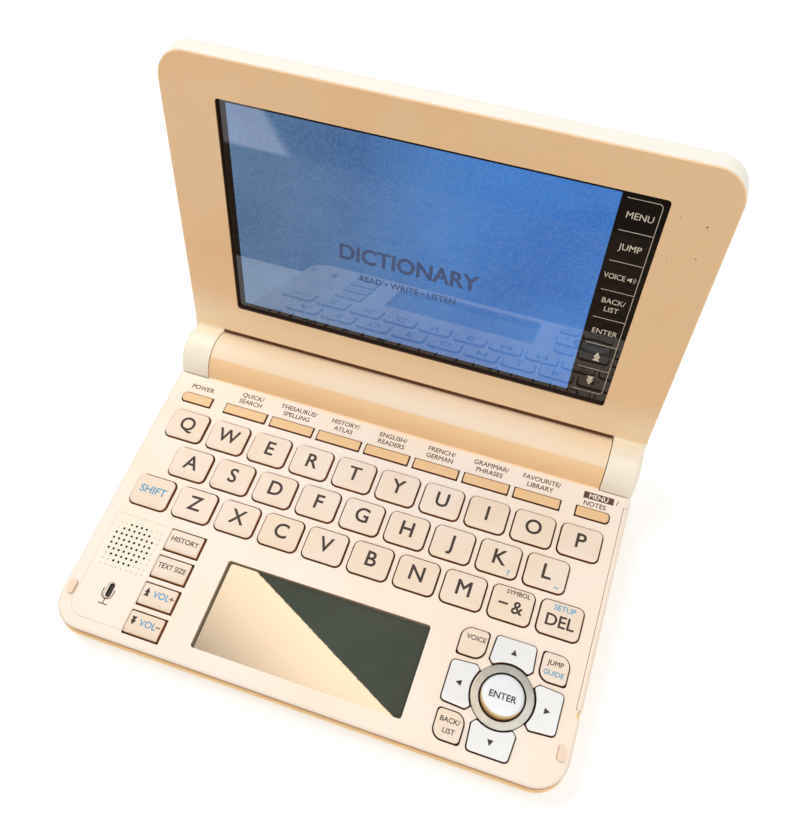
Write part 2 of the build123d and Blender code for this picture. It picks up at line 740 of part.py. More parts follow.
with BuildPart() as bumpers:
    with BuildSketch(base.offset(deck - bumper_depth)):
        with Locations((-bumper_x, bumper_y), (bumper_x, bumper_y)):
            RectangleRounded(
                bumper_width - 2 * seat_gap,
                bumper_length - 2 * seat_gap,
                bumper_width / 2 - 0.1 - seat_gap,
            )
    extrude(amount=bumper_depth + bumper_height)

# ---- Stylus: it steps in under the deck's edge and pulls out sideways ---------------------------
with BuildPart() as stylus:
    outer_x = case_width / 2
    stylus_rear = stylus_front + stylus_length
    with BuildSketch(base.offset(case_parting + stylus_clearance)):
        Polygon(
            (stylus_inner_x, stylus_front),
            (outer_x, stylus_front),
            (outer_x, stylus_rear),
            (stylus_seam_x, stylus_rear),
            (stylus_inner_x, stylus_rear - stylus_tip),
            align=None,
        )
    extrude(amount=stylus_shelf - case_parting - stylus_clearance)
    with BuildSketch(base.offset(stylus_shelf)):
        with Locations(((stylus_seam_x + outer_x) / 2, stylus_front + stylus_length / 2)):
            Rectangle(outer_x - stylus_seam_x, stylus_length)
    extrude(amount=deck - stylus_shelf)
    outer_edge = stylus.faces().sort_by(upwards)[-1].edges().sort_by(sideways)[-1]
    fillet(outer_edge, deck_edge_round)
stylus.part.label = "stylus"
export_step(stylus.part, "parts/stylus.step")

# ---- Feet: their undersides are trimmed level, so the leaning case stands flat ------------------
with BuildPart() as rubber_feet:
    with BuildSketch(base.offset(foot_pocket - seat_gap)):
        with Locations((-front_foot_x, front_foot_y), (front_foot_x, front_foot_y)):
            Circle(front_foot_radius)
    extrude(amount=-case_height)
    with BuildSketch(base.offset(hinge_z - barrel_radius + foot_pocket - seat_gap)):
        with Locations((-rear_foot_x, hinge_y), (rear_foot_x, hinge_y)):
            Rectangle(rear_foot_length, rear_foot_width)
    extrude(amount=-case_height)
    split(bisect_by=Plane.XY, keep=Keep.TOP)
    add(bumpers.part)
rubber_feet.part.label = "rubber_feet"
export_step(rubber_feet.part, "parts/rubber_feet.step")

with BuildPart() as case_screws:
    with BuildSketch(base.offset(screw_recess)):
        with Locations(*screw_places):
            Circle(screw_head_radius)
    extrude(amount=screw_head_height)
    with BuildSketch(base.offset(screw_recess)):
        with Locations(*screw_places):
            Circle(screw_radius)
    extrude(amount=screw_head_height + screw_length)
case_screws.part.label = "case_screws"
export_step(case_screws.part, "parts/case_screws.step")

# ---- Board with its speaker, microphone and earphone jack, and the rubber key mat on top of it --
with BuildPart() as main_board:
    with BuildSketch(base.offset(board_underside)):
        add(case_outline(board_inset, deck_rear - case_wall - 0.5))
        with Locations(*screw_places):
            Circle(boss_radius + mat_clearance, mode=Mode.SUBTRACT)
    extrude(amount=board_thickness)
    with BuildSketch(base.offset(board_top)):
        with Locations((mic_x, mic_y)):
            Circle(mic_radius)
        with Locations((grille_x, grille_y)):
            Circle(speaker_radius)
    extrude(amount=deck_underside - seat_gap - board_top)
    with BuildSketch(base.offset(deck_underside - seat_gap)):
        with Locations((grille_x, grille_y)):
            Circle(speaker_radius - 1)
    extrude(amount=-speaker_dish, taper=30, mode=Mode.SUBTRACT)
    jack_face = -case_width / 2 + case_wall + draft_inset + seat_gap
    with BuildSketch(base.offset(board_underside)):
        with Locations((jack_face + jack_length / 2, jack_y)):
            Rectangle(jack_length + 2 * seat_gap, jack_width + 2 * seat_gap)
    extrude(amount=board_thickness, mode=Mode.SUBTRACT)
    with BuildSketch(base.offset(jack_z - jack_height / 2)):
        with Locations((jack_face + jack_length / 2, jack_y)):
            Rectangle(jack_length, jack_width)
    extrude(amount=jack_height)
    with BuildSketch(Plane(base.from_local_coords((jack_face, jack_y, jack_z)), base.y_dir, (1, 0, 0))):
        Circle(jack_bore)
    extrude(amount=jack_depth, mode=Mode.SUBTRACT)
    for end in (-1, 1):
        with BuildSketch(section.offset(end * (partition_x - seat_gap))):
            Circle(contact_radius)
        extrude(amount=-end * contact_thickness)
main_board.part.label = "main_board"
export_step(main_board.part, "parts/main_board.step")

with BuildPart() as key_mat:
    with BuildSketch(base.offset(board_top)):
        add(case_outline(board_inset, deck_rear - case_wall - 0.5))
        with Locations(*screw_places):
            Circle(boss_radius + mat_clearance, mode=Mode.SUBTRACT)
        with Locations((mic_x, mic_y)):
            Circle(mic_radius + mat_clearance, mode=Mode.SUBTRACT)
        with Locations((grille_x, grille_y)):
            Circle(speaker_radius + mat_clearance, mode=Mode.SUBTRACT)
        with Locations((jack_face + jack_length / 2, jack_y)):
            Rectangle(jack_length + 2 * mat_clearance, jack_width + 2 * mat_clearance, mode=Mode.SUBTRACT)
        with Locations((writing_x, writing_y)):
            Rectangle(
                writing_width + 2 * (writing_margin + mat_clearance),
                writing_depth + 2 * (writing_margin + mat_clearance),
                mode=Mode.SUBTRACT,
            )
    extrude(amount=mat_top - board_top)
key_mat.part.label = "key_mat"
export_step(key_mat.part, "parts/key_mat.step")

# ---- Keys: a cap that rises through the deck, on a collar that holds it in ----------------------
for name, outline, x, y, height in keys:
    with BuildPart() as key:
        with BuildSketch(base.offset(collar_bottom)):
            with Locations((x, y)):
                add(outline(key_clearance + key_collar, collar=True))
        extrude(amount=key_collar_thickness)
        with BuildSketch(base.offset(collar_bottom)):
            with Locations((x, y)):
                add(outline(0))
        extrude(amount=deck + height - collar_bottom)
    key.part.label = name
    export_step(key.part, f"parts/{name}.step")

with BuildPart() as key_enter:
    with BuildSketch(base.offset(collar_bottom)):
        with Locations((pad_x, pad_y)):
            Circle(ring_counterbore - key_clearance)
    extrude(amount=key_collar_thickness - seat_gap)
    with BuildSketch(base.offset(collar_bottom)):
        with Locations((pad_x, pad_y)):
            Circle(ring_inner - key_clearance)
    extrude(amount=deck + enter_height - collar_bottom)
    chamfer(key_enter.faces().sort_by(upwards)[-1].edges(), enter_edge_chamfer)
key_enter.part.label = "key_enter"
export_step(key_enter.part, "parts/key_enter.step")

with BuildPart() as keys_books:
    with BuildSketch(base.offset(collar_bottom)):
        with Locations(*book_places):
            add(function(key_clearance + key_collar, collar=True))
    extrude(amount=key_collar_thickness)
    with BuildSketch(base.offset(collar_bottom)):
        with Locations(*book_places):
            add(function(0))
    extrude(amount=deck + function_height - collar_bottom)
keys_books.part.label = "keys_books"
export_step(keys_books.part, "parts/keys_books.step")
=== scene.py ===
import json
import math
from collections import namedtuple

import bmesh
import bpy
from bpy.props import FloatProperty, FloatVectorProperty, PointerProperty
from mathutils import Matrix, Vector


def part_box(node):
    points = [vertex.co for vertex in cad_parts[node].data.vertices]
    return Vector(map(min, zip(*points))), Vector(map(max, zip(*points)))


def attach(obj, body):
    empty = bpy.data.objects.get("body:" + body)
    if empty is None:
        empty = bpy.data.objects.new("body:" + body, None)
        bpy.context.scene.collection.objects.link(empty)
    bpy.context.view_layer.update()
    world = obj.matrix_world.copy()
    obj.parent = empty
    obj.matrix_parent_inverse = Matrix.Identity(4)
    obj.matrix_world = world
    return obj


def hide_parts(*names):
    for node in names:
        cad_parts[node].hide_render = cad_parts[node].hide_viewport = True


bl_info = {
    "name": "Pocket Dictionary Finish",
    "version": (1, 0, 0),
    "blender": (4, 5, 0),
    "location": "View3D > Sidebar > Dictionary",
    "description": "Keycaps, printing, display and plastics of a pocket electronic dictionary",
    "category": "Object",
}

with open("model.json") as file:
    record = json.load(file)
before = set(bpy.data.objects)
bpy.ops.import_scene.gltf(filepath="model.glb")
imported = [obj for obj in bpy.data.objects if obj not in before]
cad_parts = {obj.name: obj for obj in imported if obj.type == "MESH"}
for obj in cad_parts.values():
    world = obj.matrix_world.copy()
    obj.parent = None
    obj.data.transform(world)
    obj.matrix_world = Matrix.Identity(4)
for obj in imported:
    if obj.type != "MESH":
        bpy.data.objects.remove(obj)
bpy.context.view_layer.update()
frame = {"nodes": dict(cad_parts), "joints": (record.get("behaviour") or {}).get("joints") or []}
joints = {joint["name"]: joint for joint in frame["joints"]}
nodes = frame["nodes"]

# ---- Where things are, in millimetres on the two planes of the object ---------------------------
# base: x to the right, y from the case's front edge to the rear, z up from its underside.
# lid:  x to the right, y from the hinge axis up the lid, z towards the user.
HINGE_Y = 95.9
HINGE_Z = 5.5
DECK = 7.8
PRINT = 0.02  # how far printing lies above what carries it

# Case
BARREL_RADIUS = 9.25
BARREL_FRONT = HINGE_Y - BARREL_RADIUS
BARREL_HALF = 64.0  # half its length, up to the lid's knuckles
# Painted shade: below this height the barrel's front is painted darker and warmer
BARREL_SHADE_LINE = 13.7  # height where its paler top ends
HOLES_X = 71.6  # the shade in the key holes stays within these, clear of the outer walls
HOLES_Y = (2.2, 86.5)
HOLES_CORNER = 62.2  # x less y, at the rounded front corners
WRITING_X = (-32.6, 30.0)  # just round the opening of the writing panel
WRITING_Y = (5.5, 32.9)
GRILLE_X = -61.4
GRILLE_Y = 27.5
GRILLE_PITCH = 1.64
GRILLE_ROWS = (4, 6, 8, 8, 8, 8, 6, 4)  # open holes in each row
GRILLE_DIMPLES = 9  # rows and columns of the whole pattern
MICROPHONE = (-60.7, 13.6)

# Keys
CAP_TOP = DECK + 0.8
KEY_GAP = 0.2  # how much smaller a keycap is than its CAD key, all round
KEY_DEPTH = 2.2  # height of a keycap's side
FUNCTION_PITCH = 15.75
END_KEY_X = 64.0  # the power key and the menu key
RING_RADIUS = 8.6
RING_INNER = 6.2

# Lid
BEZEL = -3.3
SCREEN = BEZEL - 1.25
BEZEL_FOOT = 10.0  # lower edge of the bezel's face
WINDOW_X = 59.4  # just round the screen's window, to each side of the middle
WINDOW_Y = (18.6, 87.4)
GAP_TOP = 15.0  # the shade over the barrel ends here
DISPLAY_X = (-56.0, 46.8)  # lit part of the screen
DISPLAY_Y = (22.1, 84.7)
ICON_X = (48.1, 56.8)  # ends of the lines between the icons
ICON_MIDDLE = 52.3
ICON_LINES = (83.64, 75.09, 66.46, 57.74, 48.93, 40.31, 31.61, 23.19)

# Camera, on the base plane
VIEW_PLACE = (47.395, -19.417, 224.340)
VIEW_RIGHT = (0.94904, 0.31473, -0.01650)
VIEW_DOWN = (0.27425, -0.85049, -0.44883)
VIEW_AHEAD = (-0.15530, 0.42143, -0.89346)
VIEW_SHIFT = (-0.0201, 0.0397)

hinge_point = Vector(joints["lid_hinge"]["pos_m"])
press = Vector(joints["key_q_press"]["axis"])
tilt = math.atan2(press.y, -press.z)
lean = math.radians(joints["lid_hinge"]["range_deg"][1] - 90) - tilt
in_mm = Matrix.Scale(0.001, 4)
base = (
    Matrix.Translation(hinge_point)
    @ Matrix.Rotation(tilt, 4, "X")
    @ in_mm
    @ Matrix.Translation((0, -HINGE_Y, -HINGE_Z))
)
lid = Matrix.Translation(hinge_point) @ Matrix.Rotation(math.pi / 2 - lean, 4, "X") @ in_mm


def node_middle(name):
    """Middle of a CAD node from above, in base millimetres."""
    low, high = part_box(name)
    middle = base.inverted() @ ((low + high) / 2)
    return middle.x, middle.y


PAD_X, PAD_Y = node_middle("pad_ring")


# ---- Colours and nodes ---------------------------------------------------------------------------
def linear(code):
    """An sRGB hex code as linear red, green, blue and alpha."""
    parts = [int(code[i : i + 2], 16) / 255 for i in (0, 2, 4)]
    return tuple(p / 12.92 if p <= 0.04045 else ((p + 0.055) / 1.055) ** 2.4 for p in parts) + (1.0,)


def add_node(tree, kind, links=None, **settings):
    """Add a node, set its properties, and set or link its inputs."""
    node = tree.nodes.new(kind)
    for name, value in settings.items():
        setattr(node, name, value)
    for socket, value in (links or {}).items():
        if isinstance(value, bpy.types.NodeSocket):
            tree.links.new(value, node.inputs[socket])
        else:
            node.inputs[socket].default_value = value
    return node


def start_material(name):
    """A new node material: its tree, its shader, and the Object coordinates."""
    material = bpy.data.materials.new(name)
    material.use_nodes = True
    tree = material.node_tree
    shader = tree.nodes["Principled BSDF"]
    place = add_node(tree, "ShaderNodeTexCoord").outputs["Object"]
    return material, tree, shader, place


def on_plane(tree, place, plane):
    """Object coordinates as a vector in millimetres on a plane."""
    spot, turn, _ = plane.decompose()
    node = add_node(
        tree,
        "ShaderNodeMapping",
        {"Vector": place, "Location": spot, "Rotation": turn.to_euler(), "Scale": (0.001,) * 3},
        vector_type="TEXTURE",
    )
    return node.outputs[0]


def in_plane(tree, place, plane):
    """Object coordinates as x, y and z in millimetres on the base or the lid plane."""
    return add_node(tree, "ShaderNodeSeparateXYZ", {0: on_plane(tree, place, plane)}).outputs


def region(tree, *limits, outside=0.0, inside=1.0):
    """A soft mask. Each limit is a measure, where it is still outside, and where it is fully inside.
    Several limits multiply, and the result runs from the outside value to the inside value."""
    mask = None
    for measure, outer, inner in limits:
        step = add_node(
            tree,
            "ShaderNodeMapRange",
            {"Value": measure, "From Min": outer, "From Max": inner},
            interpolation_type="SMOOTHSTEP",
        ).outputs[0]
        if mask is not None:
            step = add_node(tree, "ShaderNodeMath", {0: mask, 1: step}, operation="MULTIPLY").outputs[0]
        mask = step
    if (outside, inside) == (0.0, 1.0):
        return mask
    return add_node(
        tree, "ShaderNodeMapRange", {"Value": mask, "To Min": outside, "To Max": inside}
    ).outputs[0]


def between(measure, low, high, soft=0.2):
    """The two limits, for region, of a measure that lies between low and high."""
    return (measure, low, low + soft), (measure, high, high - soft)


def painted(tree, colour, *coats):
    """A colour with others laid over it in turn, each where its mask is 1."""
    for mask, over in coats:
        colour = add_node(
            tree, "ShaderNodeMix", {0: mask, 6: colour, 7: over}, data_type="RGBA"
        ).outputs[2]
    return colour


def grain(tree, shader, place, grain_mm, depth_mm):
    """Bump of a moulded or blasted surface, from its grain size and depth."""
    noise = add_node(
        tree, "ShaderNodeTexNoise", {"Vector": place, "Scale": 1000 / grain_mm, "Detail": 2.0}
    )
    bump = add_node(tree, "ShaderNodeBump", {"Height": noise.outputs[0], "Distance": depth_mm / 1000})
    tree.links.new(bump.outputs[0], shader.inputs["Normal"])


def mottled(tree, place, patch_mm, plain, tinted, amount=1.0):
    """A colour that drifts towards another in patches of one size."""
    noise = add_node(
        tree, "ShaderNodeTexNoise", {"Vector": place, "Scale": 1000 / patch_mm, "Detail": 3.0}
    )
    return painted(tree, plain, (region(tree, (noise.outputs[0], 0.35, 0.7), inside=amount), tinted))


# ---- Materials that several operators use --------------------------------------------------------
def start_abs(name, roughness=0.42, grain_mm=0.25, depth_mm=0.004):
    """Moulded ABS, whose fine spark texture gives an even satin.
    The grain is about twice the real one, so that it shows."""
    material, tree, shader, place = start_material(name)
    shader.inputs["Roughness"].default_value = roughness
    shader.inputs["IOR"].default_value = 1.53
    grain(tree, shader, place, grain_mm, depth_mm)
    return material, tree, shader, place


def satin_abs(name, plain, tinted, roughness=0.42, patch_mm=22, coat=0.0):
    """Moulded plastic with an even satin, whose colour drifts a little as it ages."""
    material, tree, shader, place = start_abs(name, roughness)
    tree.links.new(mottled(tree, place, patch_mm, plain, tinted), shader.inputs["Base Color"])
    shader.inputs["Coat Weight"].default_value = coat
    shader.inputs["Coat Roughness"].default_value = 0.12
    return material


def matt_paint(name, colour):
    """Matt paint, thin, with slightly uneven cover: pad-printed ink, dirt, and flat marks of painted shade.
    """
    material, tree, shader, place = start_material(name)
    thin = tuple(min(1, c * 1.5) for c in colour[:3]) + (1,)
    tree.links.new(mottled(tree, place, 1.5, colour, thin, 0.5), shader.inputs["Base Color"])
    shader.inputs["Roughness"].default_value = 0.6
    return material


def made(*names):
    """Materials that an earlier operator made."""
    return tuple(bpy.data.materials[name] for name in names)


# ---- Making pieces -------------------------------------------------------------------------------
def finished(name, bm, body, slot, *materials):
    """Turn a bmesh that is already in place into a piece that rides on a body."""
    mesh = bpy.data.meshes.new(name)
    bm.to_mesh(mesh)
    bm.free()
    piece = bpy.data.objects.new(name, mesh)
    bpy.context.scene.collection.objects.link(piece)
    for material in materials:
        mesh.materials.append(material)
    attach(piece, body)
    return piece


def dress(node, material):
    """Give a CAD node its material."""
    mesh = nodes[node].data
    mesh.materials.clear()
    mesh.materials.append(material)


def rounded_shading(piece, angle=40):
    """Smooth shading with crisp edges where faces meet at a steep angle."""
    piece.data.shade_smooth()
    piece.data.set_sharp_from_angle(angle=math.radians(angle))
    weighted = piece.modifiers.new("flat faces stay flat", "WEIGHTED_NORMAL")
    weighted.keep_sharp = True


def node_copy(name, plane):
    """A merged copy of a CAD node's mesh, in a plane's millimetres, its flat faces whole."""
    bm = bmesh.new()
    bm.from_mesh(nodes[name].data)
    bm.transform(plane.inverted())
    bmesh.ops.remove_doubles(bm, verts=bm.verts, dist=0.001)
    bmesh.ops.dissolve_limit(bm, angle_limit=math.radians(0.5), verts=bm.verts, edges=bm.edges)
    return bm


def round_edges(bm, edges, radius, segments):
    """Bevel edges to a radius."""
    bmesh.ops.bevel(
        bm,
        geom=edges,
        offset=radius,
        segments=segments,
        profile=0.5,
        affect="EDGES",
        material=-1,
        clamp_overlap=True,
    )


def turned(profile, segments):
    """A profile of radii and heights above the deck, spun round the pad's middle."""
    bm = bmesh.new()
    verts = [bm.verts.new((radius, 0, DECK + height)) for radius, height in profile]
    edges = [bm.edges.new(pair) for pair in zip(verts, verts[1:])]
    bmesh.ops.spin(
        bm,
        geom=verts + edges,
        cent=(0, 0, 0),
        axis=(0, 0, 1),
        angle=2 * math.pi,
        steps=segments,
        use_merge=True,
    )
    bmesh.ops.remove_doubles(bm, verts=bm.verts, dist=0.001)
    bmesh.ops.recalc_face_normals(bm, faces=bm.faces)
    bmesh.ops.translate(bm, verts=bm.verts, vec=(PAD_X, PAD_Y, 0))
    return bm


# ---- Printing: flat shapes, in the millimetres of a plane ----------------------------------------
def words_mesh(words, size, weight=0.0):
    """Words as a flat mesh, the middle of their baseline at the origin. Weight moves their outlines out."""
    text = bpy.data.curves.new("words", "FONT")
    text.body = words
    text.align_x = "CENTER"
    text.size = size
    text.fill_mode = "FRONT"
    text.resolution_u = 4
    holder = bpy.data.objects.new("words", text)
    mesh = bpy.data.meshes.new_from_object(holder)
    bpy.data.objects.remove(holder)
    bpy.data.curves.remove(text)
    bm = bmesh.new()
    bm.from_mesh(mesh)
    bmesh.ops.remove_doubles(bm, verts=bm.verts, dist=0.004 * size)
    if weight:
        spare = bmesh.ops.inset_region(
            bm, faces=bm.faces, thickness=-weight, use_even_offset=True, use_boundary=True
        )
        bmesh.ops.delete(bm, geom=spare["faces"], context="FACES")
    bm.to_mesh(mesh)
    bm.free()
    return mesh


capital = words_mesh("H", 1.0)
CAPITAL_SHARE = max(v.co.y for v in capital.vertices)  # height of a capital in a size of 1


def print_words(bm, words, height, x, y, z, ink=0, narrow=1.0, weight=0.016):
    """Print words into a bmesh, centred on a place, their capitals as high as height."""
    size = height / CAPITAL_SHARE
    mesh = words_mesh(words, size, weight * size)
    mesh.transform(Matrix.Translation((x, y - height / 2, z)) @ Matrix.Diagonal((narrow, 1, 1, 1)))
    before = set(bm.faces)
    bm.from_mesh(mesh)
    for face in set(bm.faces) - before:
        face.material_index = ink
    bpy.data.meshes.remove(mesh)


def print_shape(bm, corners, z):
    """Print one flat shape into a bmesh, from its corners."""
    face = bm.faces.new([bm.verts.new((x, y, z)) for x, y in corners])
    face.normal_update()
    if face.normal.z < 0:
        face.normal_flip()


def print_box(bm, left, right, low, high, z):
    """Print an upright rectangle."""
    print_shape(bm, [(left, low), (right, low), (right, high), (left, high)], z)


def print_line(bm, start, end, width, z):
    """Print a straight line of one width."""
    a, b = Vector(start), Vector(end)
    side = (b - a).normalized().orthogonal() * width / 2
    print_shape(bm, [a + side, a - side, b - side, b + side], z)


def print_triangle(bm, x, y, size, turn, z):
    """Print a triangle that points up, turned by an angle in degrees."""
    spin = Matrix.Rotation(math.radians(turn), 2)
    corners = [spin @ Vector(c) * size for c in ((0, 0.55), (-0.5, -0.4), (0.5, -0.4))]
    print_shape(bm, [(x + c.x, y + c.y) for c in corners], z)


def print_arc(bm, x, y, radius, width, start, end, z):
    """Print an arc of one width, between two angles in degrees."""
    steps = max(3, (end - start) // 12)
    angles = [math.radians(start + (end - start) * i / steps) for i in range(steps + 1)]
    inner, outer = (
        [(x + edge * math.cos(a), y + edge * math.sin(a)) for a in angles]
        for edge in (radius - width / 2, radius + width / 2)
    )
    for i in range(steps):
        print_shape(bm, [outer[i], outer[i + 1], inner[i + 1], inner[i]], z)


def print_dots(bm, dots, z):
    """Print round dots, each from its place and radius."""
    for x, y, radius in dots:
        dot = bmesh.ops.create_circle(bm, cap_ends=True, radius=radius, segments=8)
        bmesh.ops.translate(bm, verts=dot["verts"], vec=(x, y, z))


# ---- Keycaps -------------------------------------------------------------------------------------
FLAT = 0.99  # upward part of a flat top's normal
NEAR = 0.01  # a distance in millimetres that counts as none
DARK, BLUE = 0, 1  # places of the two inks in a style's list

# looks are the materials of the top, the rim and the skirt. rim and corner are radii in millimetres.
CapStyle = namedtuple("CapStyle", "looks inks rim slope drop corner slot", defaults=(0.0, "letter_key"))
Word = namedtuple("Word", "text height x y ink narrow", defaults=(DARK, 1.0))


def cap_blank(node, corner):
    """The top face of a CAD key, a little smaller, extruded down and its corners rounded."""
    bm = node_copy(node, base)
    top = max(v.co.z for v in bm.verts)
    spare = [f for f in bm.faces if f.normal.z < FLAT or f.calc_center_median().z < top - NEAR]
    bmesh.ops.delete(bm, geom=spare, context="FACES")
    margin = bmesh.ops.inset_region(
        bm, faces=bm.faces, thickness=KEY_GAP, use_even_offset=True, use_boundary=True
    )
    bmesh.ops.delete(bm, geom=margin["faces"], context="FACES")
    walls = bmesh.ops.extrude_face_region(bm, geom=bm.faces[:])
    lower = [item for item in walls["geom"] if isinstance(item, bmesh.types.BMVert)]
    bmesh.ops.translate(bm, verts=lower, vec=(0, 0, -KEY_DEPTH))
    bmesh.ops.recalc_face_normals(bm, faces=bm.faces)
    if corner:
        upright = [e for e in bm.edges if abs(e.verts[0].co.z - e.verts[1].co.z) > KEY_DEPTH / 2]
        sharp = [e for e in upright if e.calc_face_angle() > math.radians(35)]
        round_edges(bm, sharp, corner, 4)
    return bm


def bend_front(bm, top, slope, drop):
    """Lower the front edge of a cap's top, in a curve that starts slope millimetres behind it."""
    front = min(v.co.y for v in bm.verts)
    for share in (0.25, 0.5, 0.75, 1.0):
        tops = [f for f in bm.faces if f.normal.z > FLAT and f.calc_center_median().z > top - NEAR]
        edges = dict.fromkeys(e for f in tops for e in f.edges)
        verts = dict.fromkeys(v for f in tops for v in f.verts)
        bmesh.ops.bisect_plane(
            bm,
            geom=[*tops, *edges, *verts],
            dist=0.001,
            plane_co=(0, front + slope * share, 0),
            plane_no=(0, 1, 0),
        )
    for vert in bm.verts:
        inside = slope - (vert.co.y - front)
        if vert.co.z > top - NEAR and inside > 0:
            vert.co.z -= drop * (inside / slope) ** 2
    bm.normal_update()


def keycap(node, style, *words):
    """A moulded keycap in a CAD key's place: rounded rim, bent front, dark skirt and printing, with painted
    shade on rim and skirt.
    """
    bm = cap_blank(node, style.corner)
    top = max(v.co.z for v in bm.verts)
    bend_front(bm, top, style.slope, style.drop)
    rim = [
        e
        for e in bm.edges
        if len(e.link_faces) == 2
        and sorted(f.normal.z > 0.6 for f in e.link_faces) == [False, True]
        and min(v.co.z for v in e.verts) > DECK
    ]
    round_edges(bm, rim, style.rim, 3)
    bm.normal_update()
    for face in bm.faces:
        # Rim faces take the rim's painted shade, the walls the skirt's darker painted shade
        face.material_index = 0 if face.normal.z > 0.85 else 1 if face.normal.z > 0.5 else 2
    x, y = node_middle(node)
    for word in words:
        ink = len(style.looks) + word.ink
        print_words(bm, word.text, word.height, x + word.x, y + word.y, top + PRINT, ink, word.narrow)
    bm.transform(base)
    piece = finished(f"cap_{node}", bm, node, style.slot, *style.looks, *style.inks)
    rounded_shading(piece)
    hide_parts(node)


# ---- Sizes and colours that a user would change --------------------------------------------------
def millimetres(name, description, default):
    """A length setting. Blender shows this subtype in millimetres."""
    return FloatProperty(name=name, description=description, default=default, subtype="DISTANCE_CAMERA")


def watts(name, description, default):
    return FloatProperty(name=name, description=description, default=default, subtype="POWER")


def colour_choice(name, description, code):
    return FloatVectorProperty(
        name=name, description=description, default=linear(code), size=4, subtype="COLOR", min=0, max=1
    )


class KeyFinish(bpy.types.PropertyGroup):
    """Shape and colours of the keycaps"""

    rim_radius: millimetres("Rim radius", "Radius of a keycap's rim", 0.3)
    front_slope: millimetres("Front slope", "How far back a keycap's bent front reaches", 2.2)
    front_drop: millimetres("Front drop", "How far a keycap's front edge is lowered", 0.3)
    letter_height: millimetres("Letter height", "Height of a letter key's capital", 4.3)
    letter: colour_choice("Letter keys", "Colour of the letter keycaps", "F6E2CE")
    letter_warm: colour_choice("Letter keys, aged", "Colour the letter keycaps drift to", "F4DCC0")
    function: colour_choice("Function keys", "Colour of the function keycaps", "F0C692")
    white: colour_choice("Arrow keys", "Colour of the arrow keycaps", "F2F1EE")
    # Painted shade: the rim colours stand for shade on a keycap's rounded rim, the skirt colour for shade in
    # its hole
    rim: colour_choice("Rim", "Colour of the letter keycaps' rims", "D8A474")
    white_rim: colour_choice("Arrow keys, rim", "Colour of the arrow keycaps' rims", "B8AC9C")
    skirt: colour_choice("Skirt", "Colour of the keycaps below the rim", "A0603A")
    ink: colour_choice("Dark printing", "Colour of the dark printing", "2A1810")
    blue: colour_choice("Blue printing", "Colour of the blue printing", "3F9AC0")


class CaseFinish(bpy.types.PropertyGroup):
    """Colours of the case"""

    deck: colour_choice("Deck", "Colour of the deck", "FFF0E0")
    deck_warm: colour_choice("Deck, aged", "Colour the deck drifts to", "FFEAD2")
    barrel: colour_choice("Barrel", "Colour of the battery barrel", "FFE4C0")
    # Painted shade: this colour is painted on the barrel below the line where its paler top ends
    barrel_shaded: colour_choice("Barrel front", "Colour of the barrel below its crease", "FFD29C")
    # Painted shade: the upper half's front wall is painted coppery brown, as the shade it stands in
    wall: colour_choice("Front wall", "Colour of the upper half's front wall", "C68444")
    lower: colour_choice("Lower half", "Colour of the case's lower half", "FFE0AC")
    ring: colour_choice("Ring", "Colour of the metal ring", "989892")


class LidFinish(bpy.types.PropertyGroup):
    """Colours of the lid and its display"""

    bezel: colour_choice("Bezel", "Colour of the bezel's face", "F8CE9C")
    shell: colour_choice("Shell", "Colour of the lid's back and rim", "FFFAEC")
    display: colour_choice("Display", "Colour of the lit display", "4A76B2")
    display_light: colour_choice("Display, bright", "Colour of the display where it is brightest", "4484D2")
    # Painted reflection: this pale colour is laid over the display's left side
    display_reflection: colour_choice("Display, pale", "Colour of the display where it is palest", "5A7694")
    border: colour_choice("Display border", "Colour of the display's border", "120D0A")
    strip_ink: colour_choice("Icon printing", "Colour of the printing beside the display", "CFC2AC")


class StudioLight(bpy.types.PropertyGroup):
    """Camera lens, lamps and floor"""

    lens: millimetres("Lens", "Focal length for a 36 mm high image", 34.07)
    key_power: watts("Main lamp", "Power of the main lamp", 5.2)
    top_power: watts("Top lamp", "Power of the lamp overhead", 5.2)
    fill_power: watts("Fill lamp", "Power of the fill lamp", 2.6)
    sky: FloatProperty(
        name="Surrounding light", description="Strength of the even light all round", default=0.42
    )
    floor: colour_choice("Floor", "Colour of the floor", "F4F4F4")


# ---- Operators: one for each group of pieces ------------------------------------------------------
class DICTIONARY_OT_letter_keys(bpy.types.Operator):
    """Letter keys and the three word keys beside them"""

    bl_idname = "dictionary.letter_keys"
    bl_label = "Letter keys"

    def execute(self, context):
        finish = context.scene.key_finish
        colours = (tuple(finish.letter), tuple(finish.letter_warm))
        # Painted shade: the rims are painted tan round the pale tops, and the skirts brown as the shade of
        # the holes
        looks = (
            satin_abs("moulded_abs_letter_keys", *colours, patch_mm=16),
            satin_abs("shaded_abs_key_rims", tuple(finish.rim), linear("C8925E"), 0.45, 6),
            satin_abs("shaded_abs_key_skirts", tuple(finish.skirt), linear("8A5030"), 0.6),
        )
        inks = (
            matt_paint("pad_printed_dark_ink", tuple(finish.ink)),
            matt_paint("pad_printed_blue_ink", tuple(finish.blue)),
        )
        style = CapStyle(looks, inks, finish.rim_radius, finish.front_slope, finish.front_drop)
        signs = {"k": "?", "l": "~"}
        for letter in "qwertyuiopasdfghjklzxcvbnm":
            words = [Word(letter.upper(), finish.letter_height, 0, 0.45)]
            if letter in signs:
                words.append(Word(signs[letter], 1.7, 3.6, -3.3, BLUE))
            keycap(f"key_{letter}", style, *words)
        keycap("key_shift", style, Word("SHIFT", 2.3, 0, 0.4, BLUE))
        symbols = (Word("SYMBOL", 1.25, 1.2, 3.5), Word("−", 3.6, -2.3, -0.2), Word("&", 3.5, 1.8, -0.5))
        keycap("key_symbol", style, *symbols)
        keycap("key_delete", style, Word("SETUP", 1.5, 0.6, 3.2, BLUE), Word("DEL", 3.3, 0, -0.6))
        return {"FINISHED"}


